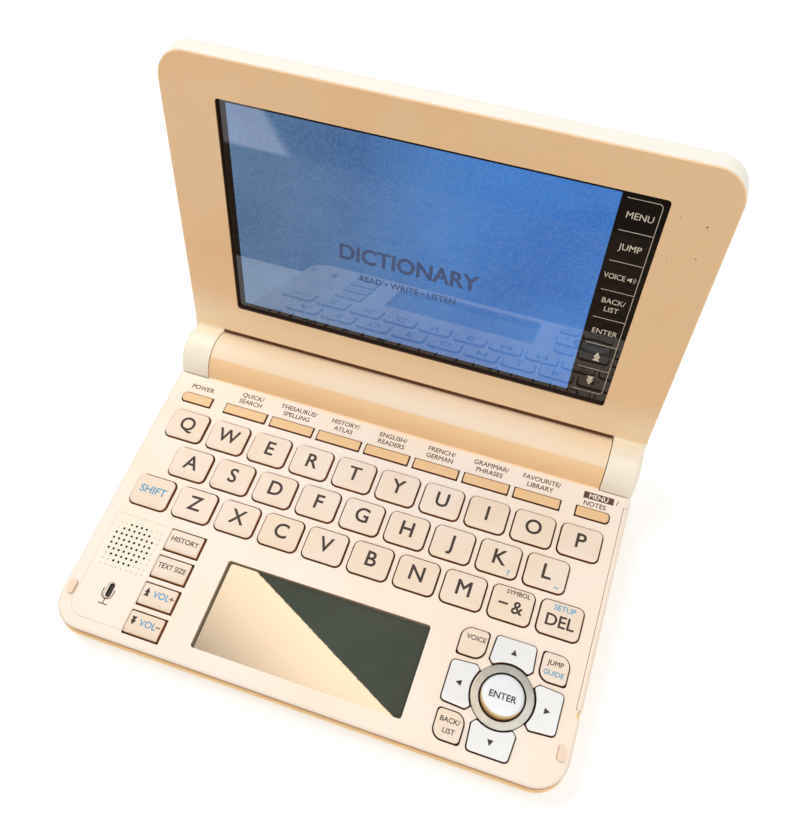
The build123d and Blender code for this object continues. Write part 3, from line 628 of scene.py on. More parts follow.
class DICTIONARY_OT_side_keys(bpy.types.Operator):
    """Four side keys with their words and volume arrows"""

    bl_idname = "dictionary.side_keys"
    bl_label = "Side keys"

    def execute(self, context):
        finish = context.scene.key_finish
        colours = (tuple(finish.letter), tuple(finish.letter_warm))
        cap = satin_abs("moulded_abs_side_keys", *colours, patch_mm=16)
        edges = made("shaded_abs_key_rims", "shaded_abs_key_skirts")
        inks = made("pad_printed_dark_ink", "pad_printed_blue_ink")
        style = CapStyle((cap, *edges), inks, finish.rim_radius, slope=1.6, drop=0.35, corner=0.5)
        keycap("key_history", style, Word("HISTORY", 1.45, 0, 0.5))
        keycap("key_text_size", style, Word("TEXT SIZE", 1.45, 0, 0.5, narrow=0.9))
        for node, sign in (("key_volume_up", "+"), ("key_volume_down", "−")):
            keycap(node, style, Word("VOL", 1.8, 0.9, 0.5, BLUE), Word(sign, 1.8, 4.0, 0.5))
        for node, turn in (("key_volume_up", 0), ("key_volume_down", 180)):
            x, y = node_middle(node)
            bm = bmesh.new()
            for step in (-0.5, 0.5):
                print_triangle(bm, x - 3.5, y + 0.5 + step, 1.6, turn, CAP_TOP + PRINT)
            bm.transform(base)
            finished(f"arrows_{node}", bm, node, "letter_key", inks[DARK])
        return {"FINISHED"}


class DICTIONARY_OT_function_keys(bpy.types.Operator):
    """Function row: seven book keys, power and menu"""

    bl_idname = "dictionary.function_keys"
    bl_label = "Function keys"

    def execute(self, context):
        finish = context.scene.key_finish
        cap = satin_abs("moulded_abs_function_keys", tuple(finish.function), linear("F3C68C"), patch_mm=12)
        looks = (cap, *made("shaded_abs_key_rims", "shaded_abs_key_skirts"))
        style = CapStyle(looks, (), rim=0.2, slope=1.0, drop=0.1, corner=0.35, slot="function_key")
        for node in ("keys_books", "key_power", "key_menu"):
            keycap(node, style)
        return {"FINISHED"}


class DICTIONARY_OT_pad(bpy.types.Operator):
    """Arrow keys, leaf keys, centre key and the metal ring"""

    bl_idname = "dictionary.pad"
    bl_label = "Arrow pad"

    def execute(self, context):
        self.arrow_keys(context.scene.key_finish)
        self.leaf_keys(context.scene.key_finish)
        self.corner_fills()
        self.centre_key()
        self.ring(context.scene.case_finish)
        return {"FINISHED"}

    def arrow_keys(self, finish):
        """Four white keys with a light gloss and grey rims in painted shade."""
        ink, skirt = made("pad_printed_dark_ink", "shaded_abs_key_skirts")
        looks = (
            satin_abs("moulded_abs_arrow_keys", tuple(finish.white), linear("EEEDEA"), 0.3, coat=0.3),
            satin_abs("shaded_abs_arrow_key_rims", tuple(finish.white_rim), linear("A89C8C"), 0.4, 6),
            skirt,
        )
        style = CapStyle(looks, (), rim=0.3, slope=1.5, drop=0.15, corner=0.6, slot="white_key")
        for name, turn in (("up", 0), ("left", 90), ("down", 180), ("right", 270)):
            node = f"key_{name}"
            keycap(node, style)
            bm = bmesh.new()
            out = Matrix.Rotation(math.radians(turn), 2) @ Vector((0, RING_RADIUS + 3.4))
            print_triangle(bm, PAD_X + out.x, PAD_Y + out.y, 1.7, turn, CAP_TOP + PRINT)
            bm.transform(base)
            finished(f"arrow_{name}", bm, node, "white_key", ink)

    def leaf_keys(self, finish):
        """Three rounded keys that stand between the arrow keys."""
        colours = (tuple(finish.letter), tuple(finish.letter_warm))
        leaf = satin_abs("moulded_abs_leaf_keys", *colours, patch_mm=16)
        edges = made("shaded_abs_key_rims", "shaded_abs_key_skirts")
        inks = made("pad_printed_dark_ink", "pad_printed_blue_ink")
        style = CapStyle((leaf, *edges), inks, finish.rim_radius, slope=1.6, drop=0.2, corner=1.0)
        high, low, size = 1.3, -1.4, 1.3
        keycap("key_voice", style, Word("VOICE", size, 0.5, high))
        keycap("key_jump", style, Word("JUMP", size, 0, high), Word("GUIDE", size, 0, low, BLUE))
        keycap("key_back", style, Word("BACK/", size, 0, high), Word("LIST", size, 0.4, low))

    def corner_fills(self):
        """Deck plastic that rounds off the sharp corners of the leaf keys' openings."""
        reach = 1.1  # from a corner along both of its sides
        overlap = 0.3  # outwards, over the deck
        straight = math.radians(135)  # a wider corner is left as it is
        bm = bmesh.new()
        for node in ("key_voice", "key_jump", "key_back"):
            key = node_copy(node, base)
            top = max(key.faces, key=lambda f: (round(f.normal.z, 2), f.calc_area()))
            outline = [loop.vert.co.xy.copy() for loop in top.loops]
            key.free()
            middle = sum(outline, Vector((0, 0))) / len(outline)
            for i, corner in enumerate(outline):
                back = (outline[i - 1] - corner).normalized()
                on = (outline[(i + 1) % len(outline)] - corner).normalized()
                if back.angle(on) > straight:
                    continue
                tip = corner + (corner - middle).normalized() * overlap
                shares = [step / 6 for step in range(7)]
                curve = [tip + reach * (back * (1 - s) ** 2 + on * s**2) for s in shares]
                print_shape(bm, [tip, *curve], DECK)
        bm.transform(base)
        finished("leaf_opening_corners", bm, "case", "case_upper", nodes["top_case"].data.materials[0])

    def centre_key(self):
        """Domed centre key with its word."""
        radius = RING_INNER - 0.3
        dome = [(0, 1.35), (2.0, 1.32), (3.6, 1.25), (4.7, 1.12), (5.25, 0.98), (5.6, 0.8), (5.8, 0.58)]
        bm = turned([*dome, (radius, 0.3), (radius, -1.9)], 64)
        for face in bm.faces:
            face.material_index = 0 if face.calc_center_median().z > DECK + 0.1 else 1
        print_words(bm, "ENTER", 1.7, PAD_X, PAD_Y, DECK + 1.4, 2)
        bm.transform(base)
        looks = (self.dome_abs(), *made("shaded_abs_key_skirts", "pad_printed_dark_ink"))
        piece = finished("cap_key_enter", bm, "key_enter", "white_key", *looks)
        rounded_shading(piece, 60)
        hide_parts("key_enter")

    def dome_abs(self):
        """White ABS of the centre key, with a painted amber reflection turning to painted brown shade along
        its front, where the dome rolls over.
        """
        material, tree, shader, place = start_abs("moulded_abs_centre_key", 0.3, depth_mm=0.002)
        spot = in_plane(tree, place, base)
        flat = add_node(tree, "ShaderNodeCombineXYZ", {"X": spot["X"], "Y": spot["Y"]}).outputs[0]
        rear = (PAD_X + 0.3, PAD_Y + 1.4, 0)
        away = add_node(tree, "ShaderNodeVectorMath", {0: flat, 1: rear}, operation="DISTANCE")
        away = away.outputs["Value"]
        white = mottled(tree, place, 8, linear("F6F8FA"), linear("F0F2F4"))
        # Painted reflection of the warm deck near the dome's edge, painted brown shade further out on its
        # side
        amber = painted(tree, linear("DDBE84"), (region(tree, (away, 6.3, 7.2)), linear("94662E")))
        colour = painted(tree, white, (region(tree, (away, 6.05, 6.3)), amber))
        tree.links.new(colour, shader.inputs["Base Color"])
        return material

    def ring(self, finish):
        """Satin nickel of the ring: blasted metal, whose bright edge falls off softly."""
        material, tree, shader, place = start_material("satin_nickel_ring")
        colour = mottled(tree, place, 3, tuple(finish.ring), linear("8C8980"), 0.6)
        tree.links.new(colour, shader.inputs["Base Color"])
        shader.inputs["Metallic"].default_value = 1.0
        shader.inputs["Roughness"].default_value = 0.38
        grain(tree, shader, place, 0.3, 0.003)
        outer = [(RING_RADIUS - back, up) for back, up in ((0, -2.5), (0, 0.2), (0.12, 0.4), (0.35, 0.5))]
        inner = [(0.3, 0.62), (0.2, 0.58), (0.1, 0.45), (0, 0.2), (0, -2.5)]
        bm = turned(outer + [(RING_INNER + out, up) for out, up in inner], 72)
        bm.transform(base)
        piece = finished("metal_ring", bm, "case", "ring_metal", material)
        rounded_shading(piece, 35)
        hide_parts("pad_ring")


class DICTIONARY_OT_case(bpy.types.Operator):
    """Plastics of the case, stylus, feet, battery door and the pieces inside"""

    bl_idname = "dictionary.case"
    bl_label = "Case"

    def execute(self, context):
        finish = context.scene.case_finish
        lower = satin_abs("moulded_abs_case_lower", tuple(finish.lower), linear("FADAA4"), 0.45, 30)
        steel = self.steel()
        deck = (tuple(finish.deck), tuple(finish.deck_warm))
        # The cells' shrink film is smooth, the board's woven glass lies under green varnish, and the
        # silicone of the mat is matt
        looks = {
            "top_case": self.upper_abs(finish),
            "bottom_case": lower,
            "battery_door": lower,
            "speaker_panel": self.speaker_abs(finish),
            "stylus": satin_abs("moulded_abs_stylus", *deck, 0.4, 30),
            "rubber_feet": self.rubber(),
            "writing_panel": self.touch_film(),
            "hinge_pins": steel,
            "case_screws": steel,
            "batteries": satin_abs("shrink_film_cells", linear("3A6A4C"), linear("2F5A40"), 0.3),
            "main_board": satin_abs("glass_epoxy_board", linear("2E5A3A"), linear("264C31"), 0.5, 8),
            # Painted shade: the mat's brown stands for the brown shade seen down the gaps round the keys
            "key_mat": satin_abs("silicone_key_mat", linear("7A4428"), linear("6C3A20"), 0.7, 10),
        }
        for node, material in looks.items():
            dress(node, material)
        return {"FINISHED"}

    def upper_abs(self, finish):
        """Moulded ABS of the upper case half: pale deck, front wall in painted coppery shade, a barrel in
        painted shade below a line along it, and key holes and writing recess whose walls stay in brown shade."""
        material, tree, shader, place = start_abs("moulded_abs_case_upper")
        x, y, z = in_plane(tree, place, base)
        from_middle = add_node(tree, "ShaderNodeMath", {0: x}, operation="ABSOLUTE").outputs[0]
        to_corner = add_node(tree, "ShaderNodeMath", {0: from_middle, 1: y}, operation="SUBTRACT").outputs[0]

        deck = mottled(tree, place, 30, tuple(finish.deck), tuple(finish.deck_warm), 0.8)
        barrel = mottled(tree, place, 40, tuple(finish.barrel), tuple(finish.deck_warm), 0.5)
        # Painted shade below the line, where the barrel's front turns away from the light overhead
        below_shade_line = region(tree, (z, BARREL_SHADE_LINE, BARREL_SHADE_LINE - 0.5), (y, HINGE_Y, HINGE_Y - 0.5))
        barrel = painted(tree, barrel, (below_shade_line, tuple(finish.barrel_shaded)))
        on_deck = region(tree, (y, BARREL_FRONT + 0.6, BARREL_FRONT - 0.6))

        # Painted shade: the front wall, coppery brown, paler towards its foot
        on_shaded_wall = region(tree, (z, DECK - 0.3, DECK - 0.9), (y, 7, 3))
        wall_foot = region(tree, (z, 6.6, 5.2))
        wall = painted(tree, tuple(finish.wall), (wall_foot, linear("E6BE90")))

        front, rear = HOLES_Y
        in_hole = region(
            tree,
            (y, front, front + 0.2),
            (y, rear, rear - 0.3),
            (from_middle, HOLES_X, HOLES_X - 0.2),
            (to_corner, HOLES_CORNER, HOLES_CORNER - 0.2),
            (z, DECK - 0.06, DECK - 0.1),
        )
        in_recess = region(tree, *between(x, *WRITING_X), *between(y, *WRITING_Y))
        shade = painted(tree, linear("A0603A"), (in_recess, linear("C89C6C")))

        colour = painted(tree, barrel, (on_deck, deck), (on_shaded_wall, wall), (in_hole, shade))
        tree.links.new(colour, shader.inputs["Base Color"])
        roughness = region(tree, (on_deck, 0, 1), outside=0.5, inside=0.42)
        tree.links.new(roughness, shader.inputs["Roughness"])
        return material

    def speaker_abs(self, finish):
        """Satin ABS of the speaker panel, in dark brown shade inside its holes."""
        material, tree, shader, place = start_abs("moulded_abs_speaker_panel", 0.4)
        height = in_plane(tree, place, base)["Z"]
        face = mottled(tree, place, 30, tuple(finish.deck), tuple(finish.deck_warm))
        on_face = region(tree, (height, DECK - 0.12, DECK - 0.02))
        colour = painted(tree, linear("2E2016"), (on_face, face))
        tree.links.new(colour, shader.inputs["Base Color"])
        return material

    def rubber(self):
        """Moulded rubber, matt: cream bumpers painted tan as shade at their foot on the deck, dark grey feet
        below.
        """
        material, tree, shader, place = start_material("moulded_rubber_feet_and_bumpers")
        height = in_plane(tree, place, base)["Z"]
        # Painted shade: the bumpers' sides are painted tan below their top
        bumper = painted(
            tree, linear("B9875A"), (region(tree, (height, DECK + 0.1, DECK + 0.35)), linear("FBE0C4"))
        )
        colour = painted(tree, linear("4A443C"), (region(tree, (height, 3, 5)), bumper))
        tree.links.new(colour, shader.inputs["Base Color"])
        shader.inputs["Roughness"].default_value = 0.6
        grain(tree, shader, place, 0.3, 0.006)
        return material

    def touch_film(self):
        """Polyester touch film over a grey display: dark, smooth, with a clear mirror in its face."""
        material, tree, shader, place = start_material("touch_film_writing_panel")
        colour = mottled(tree, place, 14, linear("50554A"), linear("565B50"))
        tree.links.new(colour, shader.inputs["Base Color"])
        shader.inputs["Roughness"].default_value = 0.012
        shader.inputs["IOR"].default_value = 2.0
        grain(tree, shader, place, 0.6, 0.0003)
        return material

    def steel(self):
        """Turned steel of the pins and screws: bright, with reflections blurred by its tool marks."""
        material, tree, shader, place = start_material("turned_steel")
        colour = mottled(tree, place, 1, linear("8E8E90"), linear("6E6E70"))
        tree.links.new(colour, shader.inputs["Base Color"])
        shader.inputs["Metallic"].default_value = 1.0
        shader.inputs["Roughness"].default_value = 0.3
        grain(tree, shader, place, 0.15, 0.002)
        return material


class DICTIONARY_OT_deck_printing(bpy.types.Operator):
    """Words above the function keys, menu mark, microphone and blind grille dimples"""

    bl_idname = "dictionary.deck_printing"
    bl_label = "Deck printing"

    def execute(self, context):
        bm = bmesh.new()
        self.labels(bm, DECK + PRINT)
        self.microphone(bm, DECK + PRINT)
        bm.transform(base)
        brown = matt_paint("pad_printed_brown_ink", linear("54331E"))
        finished("deck_printing", bm, "case", "case_upper", brown)
        self.dimples()
        self.slot_shade_sheet()
        bm = bmesh.new()
        print_words(bm, "MENU", 1.45, 64.7, 83.85, DECK + 2 * PRINT)
        bm.transform(base)
        cream = matt_paint("pad_printed_cream_ink", linear("FFF0E0"))
        finished("menu_mark_words", bm, "case", "case_upper", cream)
        return {"FINISHED"}

    def labels(self, bm, z):
        """Words behind the function keys, and the dark bar that the menu word stands on."""
        size, upper_row, lower_row = 1.45, 84.3, 82.0
        books = (
            ("QUICK/", "SEARCH"),
            ("THESAURUS/", "SPELLING"),
            ("HISTORY/", "ATLAS"),
            ("ENGLISH/", "READERS"),
            ("FRENCH/", "GERMAN"),
            ("GRAMMAR/", "PHRASES"),
            ("FAVOURITE/", "LIBRARY"),
        )
        print_words(bm, "POWER", 1.5, -END_KEY_X, 82.4, z)
        for i, (first, second) in enumerate(books):
            x = (i - 3) * FUNCTION_PITCH
            print_words(bm, first, size, x, upper_row, z)
            print_words(bm, second, size, x, lower_row, z)
        print_words(bm, "/", 1.6, 70.3, 83.9, z)
        print_words(bm, "NOTES", size, END_KEY_X, 81.3, z)
        print_box(bm, 60.2, 69.2, 82.75, 84.95, z)

    def microphone(self, bm, z):
        """Microphone sign: an outline round the slot, a yoke, a stem and a foot."""
        x, y = MICROPHONE
        thin, thick = 0.13, 0.3
        outline, straight, yoke = 1.03, 1.35, 1.65
        for side in (-1, 1):
            edge, arm = x + side * outline, x + side * yoke
            print_line(bm, (edge, y - straight), (edge, y + straight), thin, z)
            print_line(bm, (arm, y - 1.0), (arm, y + 0.3), thick, z)
        print_arc(bm, x, y + straight, outline, thin, 0, 180, z)
        print_arc(bm, x, y - straight, outline, thin, 180, 360, z)
        print_arc(bm, x, y - 1.0, yoke, thick, 180, 360, z)
        print_line(bm, (x, y - 2.6), (x, y - 4.1), thick, z)
        print_line(bm, (x - 1.4, y - 4.15), (x + 1.4, y - 4.15), thick, z)

    def dimples(self):
        """Blind dimples that fill the grille's pattern out to nine rows of nine, drawn as flat dots of
        painted shade.
        """
        middle = (len(GRILLE_ROWS) - 1) / 2
        dots = []
        for row in range(GRILLE_DIMPLES):
            holes = GRILLE_ROWS[row] if row < len(GRILLE_ROWS) else 0
            for column in range(GRILLE_DIMPLES):
                if abs(column - middle) < holes / 2:
                    continue
                x = GRILLE_X + (column - middle) * GRILLE_PITCH
                y = GRILLE_Y + (middle - row) * GRILLE_PITCH
                dots.append((x, y, 0.26))
        bm = bmesh.new()
        print_dots(bm, dots, DECK + 0.015)
        bm.transform(base)
        shade = matt_paint("shaded_grille_dimples", linear("D4BCA0"))
        finished("grille_dimples", bm, "case", "case_upper", shade)

    def slot_shade_sheet(self):
        """A dark sheet just inside the microphone's slot, which paints the shade down the slot."""
        x, y = MICROPHONE
        half_width, half_length = 0.74, 2.05
        bm = bmesh.new()
        print_box(bm, x - half_width, x + half_width, y - half_length, y + half_length, DECK - 0.6)
        bm.transform(base)
        # Painted shade: a dark sheet for the shade down the slot
        woven = matt_paint("painted_slot_shade", linear("1E120C"))
        finished("dark_sheet_in_microphone_slot", bm, "case", "rubber", woven)


class DICTIONARY_OT_lid(bpy.types.Operator):
    """Plastics of the lid, and a dark strip of painted shade in the gap over its hinge"""

    bl_idname = "dictionary.lid"
    bl_label = "Lid"

    def execute(self, context):
        dress("lid_bezel", self.bezel_abs(context.scene.lid_finish))
        dress("lid_back", self.shell_abs(context.scene.lid_finish))
        self.darken_hinge_gap()
        return {"FINISHED"}

    def bezel_abs(self, finish):
        """Glossy ABS of the bezel: tan face with painted light paling it towards the hinge, cream rim and
        knuckles, and brown shade on the walls of its window and of the gap over the barrel."""
        material, tree, shader, place = start_abs("gloss_abs_bezel", 0.35, 0.3, 0.002)
        x, y, z = in_plane(tree, place, lid)
        from_middle = add_node(tree, "ShaderNodeMath", {0: x}, operation="ABSOLUTE").outputs[0]
        off_face = add_node(tree, "ShaderNodeMath", {0: z, 1: BEZEL}, operation="SUBTRACT").outputs[0]
        off_face = add_node(tree, "ShaderNodeMath", {0: off_face}, operation="ABSOLUTE").outputs[0]
        on_face = region(tree, (off_face, 0.45, 0.1), (y, BEZEL_FOOT, BEZEL_FOOT + 0.12))
        face = mottled(tree, place, 40, tuple(finish.bezel), linear("F6C48E"))
        # Painted light: the face is painted paler towards the hinge, as light bounced up from the barrel
        face = painted(tree, face, (region(tree, (y, 26, 14)), linear("FFE0B6")))
        window = region(tree, (from_middle, WINDOW_X, WINDOW_X - 0.2), *between(y, *WINDOW_Y))
        gap = region(
            tree, (from_middle, BARREL_HALF - 0.1, BARREL_HALF - 0.3), (y, GAP_TOP, GAP_TOP - 0.5)
        )
        shade = add_node(tree, "ShaderNodeMath", {0: window, 1: gap}, operation="MAXIMUM").outputs[0]
        knuckle = region(tree, (y, 13.5, 11))
        coats = ((knuckle, linear("FFF3DC")), (shade, linear("3A2214")), (on_face, face))
        tree.links.new(painted(tree, tuple(finish.shell), *coats), shader.inputs["Base Color"])
        return material

    def shell_abs(self, finish):
        """Glossy white ABS of the lid's back. Where it laps over the barrel it stays in brown shade,
        without gloss."""
        material, tree, shader, place = start_abs("gloss_abs_lid_shell", 0.25, 0.3, 0.003)
        x, y, z = in_plane(tree, place, lid)
        from_middle = add_node(tree, "ShaderNodeMath", {0: x}, operation="ABSOLUTE").outputs[0]
        across = add_node(tree, "ShaderNodeCombineXYZ", {"Y": y, "Z": z}).outputs[0]
        from_hinge = add_node(tree, "ShaderNodeVectorMath", {0: across}, operation="LENGTH").outputs["Value"]
        lip = region(tree, (from_hinge, BARREL_RADIUS + 0.75, BARREL_RADIUS + 0.6))
        inside = region(tree, (z, BEZEL - 5.6, BEZEL - 5.4), (y, GAP_TOP, GAP_TOP - 0.5))
        lip = add_node(tree, "ShaderNodeMath", {0: lip, 1: inside}, operation="MAXIMUM").outputs[0]
        over_barrel = region(tree, (from_middle, BARREL_HALF - 0.1, BARREL_HALF - 0.3))
        lip = add_node(tree, "ShaderNodeMath", {0: lip, 1: over_barrel}, operation="MULTIPLY").outputs[0]
        knuckle = region(tree, (from_hinge, BARREL_RADIUS + 1.5, BARREL_RADIUS + 0.5))
        white = mottled(tree, place, 40, tuple(finish.shell), linear("FFF7E6"))
        colour = painted(tree, white, (knuckle, linear("FFF3DC")), (lip, linear("5A3C22")))
        tree.links.new(colour, shader.inputs["Base Color"])
        gloss = region(tree, (lip, 0, 1), outside=0.5, inside=0.0)
        tree.links.new(gloss, shader.inputs["Coat Weight"])
        tree.links.new(gloss, shader.inputs["Specular IOR Level"])
        shader.inputs["Coat Roughness"].default_value = 0.12
        return material

    def darken_hinge_gap(self):
        """A dark brown strip in the gap between bezel and barrel, which paints the gap's shade."""
        low, high, thickness, depth = 8.68, 10.2, 0.3, 0.45
        size = Matrix.Diagonal((2 * BARREL_HALF - 0.3, high - low, thickness, 1))
        middle = Matrix.Translation((0, (low + high) / 2, BEZEL - depth))
        bm = bmesh.new()
        bmesh.ops.create_cube(bm, size=1)
        bm.transform(lid @ middle @ size)
        bmesh.ops.recalc_face_normals(bm, faces=bm.faces)
        # Painted shade: the strip's brown stands for the shade in the gap
        gap_dark, tree, shader, place = start_material("painted_hinge_gap_shade")
        colour = mottled(tree, place, 1, linear("6E3E20"), linear("5A3018"))
        tree.links.new(colour, shader.inputs["Base Color"])
        shader.inputs["Roughness"].default_value = 0.9
        grain(tree, shader, place, 0.2, 0.01)
        finished("dark_strip_in_hinge_gap", bm, "lid", "bezel", gap_dark)


class DICTIONARY_OT_screen(bpy.types.Operator):
    """Lit display behind its clear face, the icon strip beside it and specks on the bezel"""

    bl_idname = "dictionary.screen"
    bl_label = "Screen"

    def execute(self, context):
        finish = context.scene.lid_finish
        dress("screen_panel", self.display(finish))
        self.icon_strip(finish, SCREEN + PRINT)
        self.specks()
        bm = bmesh.new()
        print_words(bm, "DICTIONARY", 4.6, -4.5, 49.5, SCREEN + PRINT, weight=0.03)
        print_words(bm, "READ • WRITE • LISTEN", 1.9, -4.0, 42.0, SCREEN + PRINT)
        bm.transform(lid)
        finished("display_words", bm, "lid", "screen", matt_paint("display_words", linear("43557F")))
        return {"FINISHED"}

    def icon_strip(self, finish, z):
        """Seven boxes beside the display, with their words and arrows."""
        left, right = ICON_X
        middle, line, corner, thin = ICON_MIDDLE, 0.16, 1.0, 0.004
        top, *inner, foot = ICON_LINES
        bm = bmesh.new()
        for y in inner:
            print_line(bm, (left, y), (right, y), line, z)
        for y in (top, foot):
            print_line(bm, (left, y), (right - corner, y), line, z)
        print_line(bm, (right, top - corner), (right, foot + corner), line, z)
        print_arc(bm, right - corner, top - corner, corner, line, 0, 90, z)
        print_arc(bm, right - corner, foot + corner, corner, line, 270, 360, z)
        middles = [(a + b) / 2 for a, b in zip(ICON_LINES, ICON_LINES[1:])]
        menu, jump, voice, back, enter, up, down = middles
        print_words(bm, "MENU", 1.7, middle, menu, z, weight=thin)
        print_words(bm, "JUMP", 1.7, middle, jump, z, weight=thin)
        print_words(bm, "VOICE", 1.5, 50.6, voice, z, narrow=0.88, weight=thin)
        self.loudspeaker(bm, 54.8, voice, z)
        print_words(bm, "BACK/", 1.5, 52.2, back + 1.3, z, weight=thin)
        print_words(bm, "LIST", 1.5, 52.2, back - 1.3, z, weight=thin)
        print_words(bm, "ENTER", 1.6, middle, enter, z, weight=thin)
        for step in (-0.6, 0.6):
            print_triangle(bm, middle, up + step, 2.0, 0, z)
            print_triangle(bm, middle, down + step, 2.0, 180, z)
        bm.transform(lid)
        strip = matt_paint("screen_printed_icons", tuple(finish.strip_ink))
        finished("icon_strip_printing", bm, "lid", "screen", strip)

    def loudspeaker(self, bm, x, y, z):
        """A small loudspeaker sign with two waves."""
        outline = ((-0.9, -0.3), (-0.4, -0.3), (0.2, -0.8), (0.2, 0.8), (-0.4, 0.3), (-0.9, 0.3))
        print_shape(bm, [(x + across, y + up) for across, up in outline], z)
        for radius in (0.6, 1.05):
            print_arc(bm, x + 0.2, y, radius, 0.12, -50, 50, z)

    def specks(self):
        """Four specks of dirt beside the window, of the kind that gathers in a used bezel."""
        dots = ((67.7, 81.35, 0.26), (61.2, 82.3, 0.16), (67.8, 72.7, 0.22), (61.2, 71.3, 0.14))
        bm = bmesh.new()
        print_dots(bm, dots, BEZEL + 0.01)
        bm.transform(lid)
        dirt = matt_paint("ingrained_dirt_specks", linear("8A5A34"))
        finished("bezel_specks", bm, "lid", "bezel", dirt)

    def display(self, finish):
        """Lit liquid crystal behind clear cast acrylic, which mirrors what stands before it, with painted
        reflection on its left.
        The speckle is the crystal's dots, drawn about three times as coarse as they are."""
        material, tree, shader, place = start_material("acrylic_over_display")
        x, y, _ = in_plane(tree, place, lid)
        foot, top = DISPLAY_Y
        lit = region(tree, *between(x, *DISPLAY_X, 0.15), (y, foot, foot + 0.15), (y, top, top - 0.2))
        slant = add_node(tree, "ShaderNodeMath", {0: x, 1: y}, operation="ADD").outputs[0]
        # Painted reflection: the display is painted paler grey towards its left
        pale_side = add_node(
            tree, "ShaderNodeMath", {0: y, 1: -0.2, 2: x}, operation="MULTIPLY_ADD"
        ).outputs[0]
        blue = painted(
            tree,
            tuple(finish.display),
            (region(tree, (slant, 0, 120)), tuple(finish.display_light)),
            (region(tree, (pale_side, 6, -60), inside=0.85), tuple(finish.display_reflection)),
        )
        drift = mottled(tree, place, 45, linear("FFFFFF"), linear("C8D4E4"))
        blue = add_node(
            tree, "ShaderNodeMix", {0: 1.0, 6: blue, 7: drift}, data_type="RGBA", blend_type="MULTIPLY"
        ).outputs[2]
        dots_per_mm = 1.4
        dots = add_node(
            tree, "ShaderNodeTexNoise", {"Vector": place, "Scale": 1000 * dots_per_mm, "Detail": 2.0}
        )
        speckle = region(tree, (dots.outputs[0], 0.3, 0.75), inside=0.22)
        blue = painted(tree, blue, (speckle, linear("7F98B4")))
        border = tuple(finish.border)
        tree.links.new(painted(tree, border, (lit, blue)), shader.inputs["Emission Color"])
        shader.inputs["Emission Strength"].default_value = 1.0
        tree.links.new(painted(tree, border, (lit, linear("101820"))), shader.inputs["Base Color"])
        shader.inputs["Roughness"].default_value = 0.02
        tree.links.new(region(tree, (lit, 0, 1), outside=1.6, inside=1.9), shader.inputs["IOR"])
        return material


